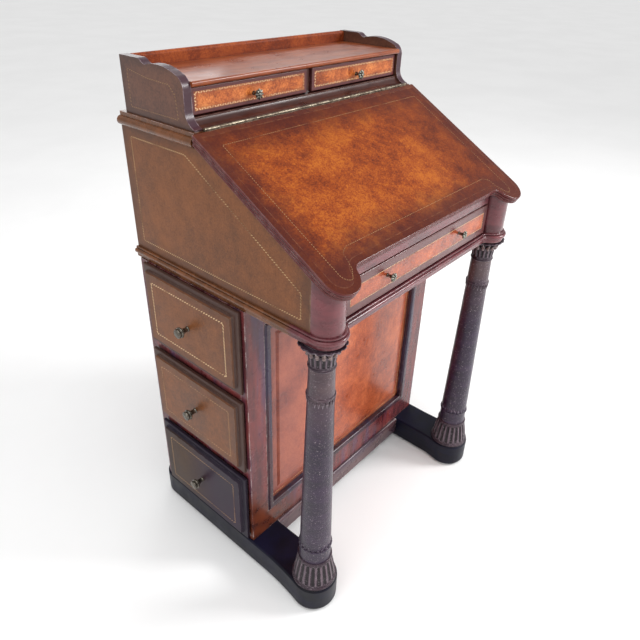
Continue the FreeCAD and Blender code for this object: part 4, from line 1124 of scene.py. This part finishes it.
@dataclass(frozen=True)
class WritingBox:
    """The sloping box: leather sides, mouldings, corner drums and front drawer."""

    shop: Workshop
    knobs: Knobs
    side_burnish: float = 35.0 * MM
    drawer_burnish: float = 30.0 * MM
    drawer_border: float = 16.0 * MM
    plum_front: float = 30.0 * MM
    line_inset: float = 24.0 * MM
    line_front: float = 20.0 * MM
    line_feet: Point = (18.0 * MM, 16.0 * MM)
    line_shoulder: float = 62.0 * MM
    slope_top: float = 52.0 * MM
    knob_half: float = 8.5 * MM
    knob_size: float = 0.85
    band: Tooling = Tooling(5.2 * MM, 3.7 * MM, 1.3 * MM)
    fine: Tooling = Tooling(5.0 * MM, 3.2 * MM, 0.8 * MM, Slant.PLAIN)

    def dress(self) -> None:
        """Put the finishes on the box's nodes; its mouldings turn from plum to olive behind the front."""
        shop = self.shop
        for side, face in SIDES.items():
            shop.clad("box_side_" + side, face, OLIVE, "_box_" + side, self.side_burnish)
        shop.clad("front_drawer_front", Facing.FRONT, ORANGE, "_front_drawer", self.drawer_burnish,
                  self.drawer_border)
        shop.dress(PLUM, "corner_drum_left", "corner_drum_right", "front_rail", "box_back")
        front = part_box("box_side_left")[0][1]
        olive = SideBlend(OLIVE.mid, OLIVE.dark, BACKWARDS, start=front + self.plum_front)
        edges = replace(PLUM, name=PLUM.name + "_box_edges", blends=(olive,))
        shop.dress(edges, "box_bottom", "box_top_board", "box_top_moulding")
        shop.dress(WOOD, "well_floor")
        shop.dress(DEEP_WOOD, "front_drawer_box")

    def side_line(self, panel: Panel) -> list[Point]:
        """Gold line on a box side, which follows the slope.

        Args:
            panel: the side's face.

        Returns:
            The line's corners on it.
        """
        back, top = panel.half_across - self.line_inset, panel.half_up - self.line_inset
        front, low = self.line_front - panel.half_across, -panel.half_up
        return panel.from_front([(back, top), (back, low + self.line_feet[0]), (front, low + self.line_feet[1]),
                                 (front, low + self.line_shoulder), (self.slope_top, top)])

    def tool(self) -> None:
        """Gild the sides and the front drawer."""
        for side, face in SIDES.items():
            panel = Panel.of_node("box_side_" + side, face)
            self.shop.gild(f"box_{side}_tooling", self.band, AGED_GOLD, [(panel, self.side_line(panel))])
        panel = Panel.of_node("front_drawer_front", Facing.FRONT)
        self.shop.gild("front_drawer_tooling", self.fine, GOLD, [(panel, panel.border(self.drawer_border))],
                       "front_drawer")

    def hang_knobs(self) -> None:
        """Fit the front drawer's two knobs."""
        node = "front_drawer_knobs"
        low, high = corners(node)
        spots = [(Vector((x, high.y, middle(node).z)), Vector(FORWARDS))
                 for x in (low.x + self.knob_half, high.x - self.knob_half)]
        names = "front_drawer_rosettes", "front_drawer_stems"
        self.knobs.hang_cast(names, spots, "front_drawer", node, self.knob_size)


@dataclass(frozen=True)
class Lid:
    """The writing slope with its leather, reeded edge, hinge and stay."""

    shop: Workshop
    straight_front: float = 303.0 * MM
    rim: float = 13.0 * MM
    burnish: float = 88.0 * MM
    # The first darkens the leather towards its right as painted shade; the second darkens it towards its back,
    # where the burnish is heavier.
    shade_and_burnish: tuple[SideBlend, ...] = (
        SideBlend("74300a", "481806", RIGHTWARDS, start=0.06, reach=0.2, strength=0.5),
        SideBlend("5a2210", "34120c", BACKWARDS, start=-0.06, reach=0.13, strength=0.4))
    line: Tooling = Tooling(4.6 * MM, 2.2 * MM, 0.9 * MM, Slant.PLAIN)
    line_inset: float = 22.0 * MM
    line_back: float = 24.0 * MM
    lobe_reach: float = 14.0 * MM
    lobe_radius: float = 16.0 * MM
    lobe_steps: int = 6
    lobe_return: tuple[Point, ...] = ((30.0 * MM, -14.0 * MM), (38.0 * MM, 14.0 * MM), (52.0 * MM, 22.0 * MM))

    def panel(self, margin: float = 0.0) -> Panel:
        """Upper face of the leather, up to its straight front edge.

        Args:
            margin: how much wider the panel is on each side.

        Returns:
            The sloping panel.
        """
        low, high = corners("lid_leather")
        faces = self.shop.frame["nodes"]["lid_leather"].data.polygons
        face = max((f for f in faces if f.normal.z > 0.5), key=lambda f: f.area)
        up = Vector((0, face.normal.z, -face.normal.y))
        back = face.center + up * ((high.z - face.center.z) / up.z)
        back.x = (low.x + high.x) / 2
        half = (self.straight_front - self.rim) / 2
        return Panel(back - up * half, Vector(RIGHTWARDS), up, (high.x - low.x) / 2 + margin, half + margin)

    def dress(self) -> None:
        """Put the finishes on the lid's nodes; the leather's burnish runs on over the board's rim."""
        effects, whole = self.shop.effects, self.panel(self.rim)
        leather = replace(LEATHER, blends=self.shade_and_burnish)
        self.shop.dress(leather.material(effects, "", whole, self.burnish), "lid_leather")
        self.shop.dress(LID_RIM.material(effects, "", whole, self.burnish), "lid_board")
        self.shop.dress(BRASS, "hinge_leaf_desk", "hinge_leaf_lid", "hinge_pin", "lid_stay", "stay_keeper")

    def tool(self) -> None:
        """Gild a fine dotted line inside the lid's edge and round its lobed corners."""
        panel, radius = self.panel(), self.lobe_radius
        side, front = panel.half_across - self.line_inset, -panel.half_up
        path = [(side, panel.half_up - self.line_back)]
        for i in range(self.lobe_steps + 1):
            angle = -math.pi / 2 * i / self.lobe_steps
            x, y = radius * math.cos(angle) - radius, radius * math.sin(angle) - self.lobe_reach
            path.append((side + x, front + y))
        path += [(side - x, front + y) for x, y in self.lobe_return]
        path += [(-x, y) for x, y in reversed(path)]
        self.shop.gild("lid_tooling", self.line, DULL_GOLD, [(panel, path)], "lid")


@dataclass(frozen=True)
class Gallery:
    """The stepped gallery with its tray and two small drawers."""

    shop: Workshop
    knobs: Knobs
    burnish: float = 20.0 * MM
    drawer_border: float = 6.5 * MM
    drawer_inset: float = 8.5 * MM
    line: Tooling = Tooling(5.4 * MM, 3.7 * MM, 1.3 * MM, Slant.ZIGZAG)
    end_line: Tooling = Tooling(5.4 * MM, 3.0 * MM, 0.8 * MM)
    end_back: Point = (18.0 * MM, 20.0 * MM)
    end_dip: Point = (20.0 * MM, 28.0 * MM)
    end_shoulders: tuple[Point, ...] = ((56.0 * MM, 30.0 * MM), (42.0 * MM, 44.0 * MM))
    end_front: float = 38.0 * MM
    end_foot: float = 12.0 * MM

    def dress(self) -> None:
        """Put the finishes on the gallery's nodes."""
        shop = self.shop
        for side, face in SIDES.items():
            shop.clad("gallery_side_" + side, face, GALLERY_HIDE, "_gallery_" + side, self.burnish)
            shop.clad(f"gallery_drawer_{side}_front", Facing.FRONT, TAWNY, "_gallery_drawer_" + side,
                      self.burnish, self.drawer_border)
            shop.dress(DEEP_WOOD, f"gallery_drawer_{side}_box")
        shop.dress(RUSSET, "gallery_back")
        shop.dress(TRAY, "gallery_tray")
        shop.dress(LEDGE, "gallery_floor", "gallery_divider")

    def end_path(self, panel: Panel) -> list[Point]:
        """Gold line on a gallery end, which steps down towards the front.

        Args:
            panel: the end's face.

        Returns:
            The line's corners on it.
        """
        back, front = panel.half_across - self.end_back[0], -panel.half_across
        top, foot = panel.half_up, self.end_foot - panel.half_up
        path = [(back, foot), (back, top - self.end_back[1]), (self.end_dip[0], top - self.end_dip[1])]
        path += [(front + x, top - y) for x, y in self.end_shoulders]
        return panel.from_front([*path, (front + self.end_front, foot)])

    def tool(self) -> None:
        """Gild the drawers and the gallery's ends."""
        for side, face in SIDES.items():
            body = f"gallery_drawer_{side}"
            panel = Panel.of_node(body + "_front", Facing.FRONT)
            end = Panel.of_node("gallery_side_" + side, face)
            self.shop.gild(body + "_tooling", self.line, GOLD, [(panel, panel.border(self.drawer_inset))], body)
            self.shop.gild(f"gallery_{side}_tooling", self.end_line, DULL_GOLD, [(end, self.end_path(end))])

    def hang_knobs(self) -> None:
        """Fit a knob to each small drawer."""
        for side in SIDES:
            body = f"gallery_drawer_{side}"
            node = body + "_knob"
            spot = Vector((middle(node).x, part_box(node)[1][1], middle(node).z))
            names = f"gallery_{side}_rosette", f"gallery_{side}_stem"
            self.knobs.hang_cast(names, [(spot, Vector(FORWARDS))], body, node)


@dataclass(frozen=True)
class Pedestal:
    """The panelled pedestal with its side drawers and their false twins."""

    shop: Workshop
    knobs: Knobs
    drawer_burnish: float = 45.0 * MM
    drawer_border: float = 12.5 * MM
    drawer_inset: float = 31.0 * MM
    false_burnish: float = 30.0 * MM
    panel_burnish: float = 50.0 * MM
    panel_inset: float = 24.0 * MM
    field_rise: float = 3.0 * MM
    foot: SideBlend = SideBlend("6c3214", "32160e", LOW_LEFT, start=0.05, reach=0.10, strength=0.85)
    line: Tooling = Tooling(6.8 * MM, 4.7 * MM, 1.7 * MM)
    fine: Tooling = Tooling(5.4 * MM, 3.0 * MM, 1.2 * MM, Slant.PLAIN)

    def dress(self) -> None:
        """Put the finishes on the pedestal's nodes; the bottom drawer's darker, bluer hide is painted shade."""
        shop = self.shop
        for level in LEVELS:
            hide = COOL_SHADED_HIDE if level == "bottom" else OLIVE
            shop.clad(f"side_drawer_{level}_front", Facing.LEFT, hide, "_drawer_" + level, self.drawer_burnish,
                      self.drawer_border)
            shop.dress(WOOD, f"side_drawer_{level}_box")
        shop.clad("dummy_drawer_fronts", Facing.RIGHT, OLIVE, "_false_drawers", self.false_burnish)
        shop.clad("pedestal_front_panel", Facing.FRONT, PANEL_HIDE, "", self.panel_burnish)
        shop.dress(replace(FRAME, blends=(self.foot,)), "pedestal_front_frame", "pedestal_left_frame")
        shop.dress(BOARDS, "pedestal_right_side", "pedestal_back")
        shop.dress(MOULDING, "pedestal_panel_moulding")
        shop.dress(WOOD, "dust_boards")

    def tool(self) -> None:
        """Gild the drawers, the false drawers and the front panel."""
        false_x, false_paths = Panel.of_node("dummy_drawer_fronts", Facing.RIGHT).centre.x, []
        for level in LEVELS:
            body = f"side_drawer_{level}"
            panel, twin = (Panel.of_node(body + "_front", face) for face in SIDES.values())
            path = panel.border(self.drawer_inset)
            leaf = GOLD if level == "top" else DULL_GOLD
            self.shop.gild(body + "_tooling", self.line, leaf, [(panel, path)], body)
            false_paths.append((replace(twin, centre=Vector((false_x, *twin.centre.yz))), path))
        raised = Panel.of_node("pedestal_front_panel", Facing.FRONT)
        margin = replace(raised, centre=raised.at((0, 0), -self.field_rise))
        self.shop.gild("panel_tooling", self.fine, GOLD, [(margin, margin.border(self.panel_inset))])
        self.shop.gild("false_drawer_tooling", self.line, GOLD, false_paths)

    def hang_knobs(self) -> None:
        """Fit the side drawers' knobs and those of the false drawers."""
        false_x, false_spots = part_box("dummy_drawer_knobs")[0][0], []
        for level in LEVELS:
            body = f"side_drawer_{level}"
            node = body + "_knob"
            _, y, z = middle(node)
            spot = Vector((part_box(node)[1][0], y, z)), Vector(LEFTWARDS)
            self.knobs.hang_turned(f"side_{level}_turned_knob", [spot], body, node)
            false_spots.append((Vector((false_x, y, z)), Vector(RIGHTWARDS)))
        self.knobs.hang_turned("false_drawer_turned_knobs", false_spots, "desk", "dummy_drawer_knobs")


@dataclass(frozen=True)
class Ring:
    """Copies of a small carving round a column; the tilt is in degrees."""

    count: int
    rise: float
    radius: float
    tilt: float = 0.0

    def stand(self, mesh: Shape, carving: Shape, axis: Vector) -> None:
        """Add the ring to a mesh.

        Args:
            mesh: where the copies go.
            carving: made along Z, with X outwards; freed afterwards.
            axis: the point of the column's axis that the ring's rise starts from.
        """
        lean = Matrix.Rotation(math.radians(self.tilt), 4, "Y")
        for i in range(self.count):
            turn = Matrix.Rotation(math.tau * i / self.count, 4, "Z")
            spot = Matrix.Translation(axis) @ turn @ Matrix.Translation((self.radius, 0, self.rise))
            add_copy(mesh, carving, spot @ lean)
        carving.free()


@dataclass(frozen=True)
class Columns:
    """Carved columns on their runners, with beads, fronds and leaf collars.

    A flute's reach is above its own node, a ring's rise is above the shaft's upper end or, for the lower
    leaves, above its lower end, and a leaf's size is its length, width and thickness.
    """

    shop: Workshop
    base_flutes: int = 20
    base_reach: Point = (8.0 * MM, 60.0 * MM)
    capital_flutes: int = 16
    capital_reach: Point = (7.0 * MM, 28.0 * MM)
    bead: float = 3.3 * MM
    beads: Ring = Ring(16, 31.5 * MM, 27.3 * MM)
    frond: Triple = (17.0 * MM, 8.4 * MM, 4.6 * MM)
    fronds: Ring = Ring(16, 34.0 * MM, 26.4 * MM, 42.0)
    upper_leaf: Triple = (-13.0 * MM, 7.2 * MM, 3.4 * MM)
    upper_leaves: Ring = Ring(22, -59.0 * MM, 24.2 * MM, -1.5)
    lower_leaf: Triple = (9.0 * MM, 8.6 * MM, 3.2 * MM)
    lower_leaves: Ring = Ring(22, 35.5 * MM, 31.6 * MM, -1.2)

    def dress(self) -> None:
        """Put the finishes on the columns, the runners and the rails between them."""
        shop = self.shop
        ends = (("column_base_", self.base_flutes, self.base_reach),
                ("column_capital_", self.capital_flutes, self.capital_reach))
        for side in SIDES:
            shop.dress(CARVED, "column_shaft_" + side)
            for name, count, (low, high) in ends:
                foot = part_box(name + side)[0][2]
                flutes = Flutes(middle("column_shaft_" + side), count, foot + low, foot + high)
                shop.dress(FLUTED.material(shop.effects, f"_{name}{side}", flutes), name + side)
            shop.dress(RUNNER, "runner_" + side)
        shop.dress(RAIL, "base_rails")

    @staticmethod
    def leaf(length: float, width: float, thick: float) -> Shape:
        """Pointed leaf with a raised middle, its foot at the origin.

        Args:
            length: its height, below zero for a leaf that hangs.
            width: its width at the foot.
            thick: its thickness at the foot.

        Returns:
            The leaf, along Z.
        """
        mesh = bmesh.new()
        bmesh.ops.create_cone(mesh, cap_ends=True, segments=8, radius1=0.5, radius2=0.06, depth=1.0)
        bmesh.ops.translate(mesh, verts=mesh.verts, vec=(0, 0, 0.5))
        bmesh.ops.scale(mesh, verts=mesh.verts, vec=(thick, width, length))
        bmesh.ops.recalc_face_normals(mesh, faces=mesh.faces)
        return mesh

    def carve(self) -> None:
        """Add the leaf collars, and the beads and fronds, whose paler copy of the column finish is painted
        light.
        """
        for side in SIDES:
            low, high = corners("column_shaft_" + side)
            x, y, _ = (low + high) / 2
            foot, head = Vector((x, y, low.z)), Vector((x, y, high.z))
            mesh, ball = bmesh.new(), bmesh.new()
            bmesh.ops.create_uvsphere(ball, u_segments=10, v_segments=8, radius=self.bead)
            self.beads.stand(mesh, ball, head)
            self.fronds.stand(mesh, self.leaf(*self.frond), head)
            self.shop.piece(f"column_{side}_beads", mesh, LIT_CARVED, "desk", Slot.DARK)
            mesh = bmesh.new()
            self.upper_leaves.stand(mesh, self.leaf(*self.upper_leaf), head)
            self.lower_leaves.stand(mesh, self.leaf(*self.lower_leaf), foot)
            self.shop.piece(f"column_{side}_carving", mesh, CARVED, "desk", Slot.DARK)


@dataclass(frozen=True)
class Lamp:
    """A square soft light that points at a place, in metres and watts."""

    name: str
    at: Triple
    aim: Triple
    size: float
    power: float

    def hang(self) -> None:
        """Add the light to the scene."""
        data = bpy.data.lights.new(self.name, "AREA")
        data.size = self.size
        data.energy = self.power
        item = add_object(self.name, data)
        item.location = self.at
        item.rotation_euler = (Vector(self.aim) - Vector(self.at)).to_track_quat("-Z", "Y").to_euler()


@dataclass(frozen=True)
class Studio:
    """Camera, floor and soft light of the picture."""

    camera_at: Triple = (-0.86471, -0.696937, 1.17815)
    right: Triple = (0.656253, -0.754003, 0.028497)
    down: Triple = (-0.367428, -0.352325, -0.860734)
    ahead: Triple = (0.659036, 0.554389, -0.508256)
    sensor: float = 36.0
    lens: float = 33.235
    shift: Point = (0.0004, -0.03375)
    sight: float = 120.0
    floor_half: float = 40.0
    floor_drop: float = 0.5 * MM
    floor_tones: Point = (0.90, 0.93)
    floor_roughness: float = 0.9
    floor_specular: float = 0.1
    room_light: float = 0.44
    room_seen: float = 0.48
    sky_towards: Triple = (-0.3, -0.2, 1.0)
    sky_strength: float = 1.35
    sky_width: float = math.radians(95.0)
    lamps: tuple[Lamp, ...] = (
        Lamp("ceiling", (-0.8, -0.5, 3.0), (0.0, 0.0, 0.5), 1.6, 14.0),
        Lamp("window", (-2.6, -0.2, 1.7), (0.0, 0.0, 0.6), 1.5, 8.0),
        Lamp("front", (1.9, -2.0, 2.0), (0.0, -0.1, 0.6), 0.9, 66.0),
        Lamp("low front", (0.3, -2.8, 0.9), (0.0, 0.0, 0.5), 1.2, 12.0),
        Lamp("behind", (1.8, 1.6, 2.3), (0.0, 0.2, 1.0), 0.9, 8.0),
        Lamp("tray sheen", (0.85, 1.75, 1.42), (-0.2, 0.1, 1.0), 0.55, 1.5))

    def camera(self) -> None:
        """Place the camera at the picture's angle."""
        data = bpy.data.cameras.new("camera")
        data.sensor_width = self.sensor
        data.sensor_fit = "HORIZONTAL"
        data.lens = self.lens
        data.shift_x, data.shift_y = self.shift
        data.clip_end = self.sight
        matrix = Matrix((Vector(self.right), -Vector(self.down), -Vector(self.ahead))).transposed().to_4x4()
        matrix.translation = Vector(self.camera_at)
        camera = add_object("camera", data)
        camera.matrix_world = matrix
        bpy.context.scene.camera = camera

    def floor(self) -> None:
        """Lay the plain pale floor."""
        mesh = bmesh.new()
        bmesh.ops.create_grid(mesh, x_segments=1, y_segments=1, size=self.floor_half)
        bmesh.ops.translate(mesh, verts=mesh.verts, vec=(0, 0, -self.floor_drop))
        data = bpy.data.meshes.new("floor")
        mesh.to_mesh(data)
        mesh.free()
        material = bpy.data.materials.new("pale floor")
        material.use_nodes = True
        graph, shader = Graph(material.node_tree), material.node_tree.nodes["Principled BSDF"].inputs
        cloud = graph.ease(graph.noise(graph.object_place(), 1.5), 0.3, 0.7)
        first, second = ((tone, tone, tone, 1.0) for tone in self.floor_tones)
        graph.feed(shader["Base Color"], graph.mix(cloud, first, second))
        shader["Roughness"].default_value = self.floor_roughness
        shader["Specular IOR Level"].default_value = self.floor_specular
        data.materials.append(material)
        add_object("floor", data)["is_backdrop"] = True

    def sky(self) -> None:
        """Even light from a wide piece of sky, which keeps the floor pale as far as it is seen."""
        data = bpy.data.lights.new("sky", "SUN")
        data.energy = self.sky_strength
        data.angle = self.sky_width
        item = add_object("sky", data)
        item.rotation_euler = (-Vector(self.sky_towards)).to_track_quat("-Z", "Y").to_euler()

    def light(self) -> None:
        """White surroundings, brighter where they are seen themselves, a wide sky and the soft lights."""
        world = bpy.data.worlds.new("white room")
        world.use_nodes = True
        graph, back = Graph(world.node_tree), world.node_tree.nodes["Background"].inputs
        back["Color"].default_value = (1.0, 1.0, 1.0, 1.0)
        seen = graph.add("LightPath").outputs["Is Camera Ray"]
        graph.feed(back["Strength"], graph.plus(graph.times(seen, self.room_seen), self.room_light))
        bpy.context.scene.world = world
        bpy.context.scene.view_settings.view_transform = "Standard"
        self.sky()
        for lamp in self.lamps:
            lamp.hang()


def main() -> None:
    """Build and dress the desk."""
    logging.basicConfig(level=logging.INFO, format="%(name)s: %(message)s")
    shop = Workshop()
    knobs = Knobs(shop)
    box, lid = WritingBox(shop, knobs), Lid(shop)
    gallery, pedestal, columns = Gallery(shop, knobs), Pedestal(shop, knobs), Columns(shop)
    box.dress()
    box.tool()
    box.hang_knobs()
    lid.dress()
    lid.tool()
    gallery.dress()
    gallery.tool()
    gallery.hang_knobs()
    pedestal.dress()
    pedestal.tool()
    pedestal.hang_knobs()
    columns.dress()
    columns.carve()

    studio = Studio()
    studio.camera()
    studio.floor()
    studio.light()


if __name__ == "__main__":
    main()
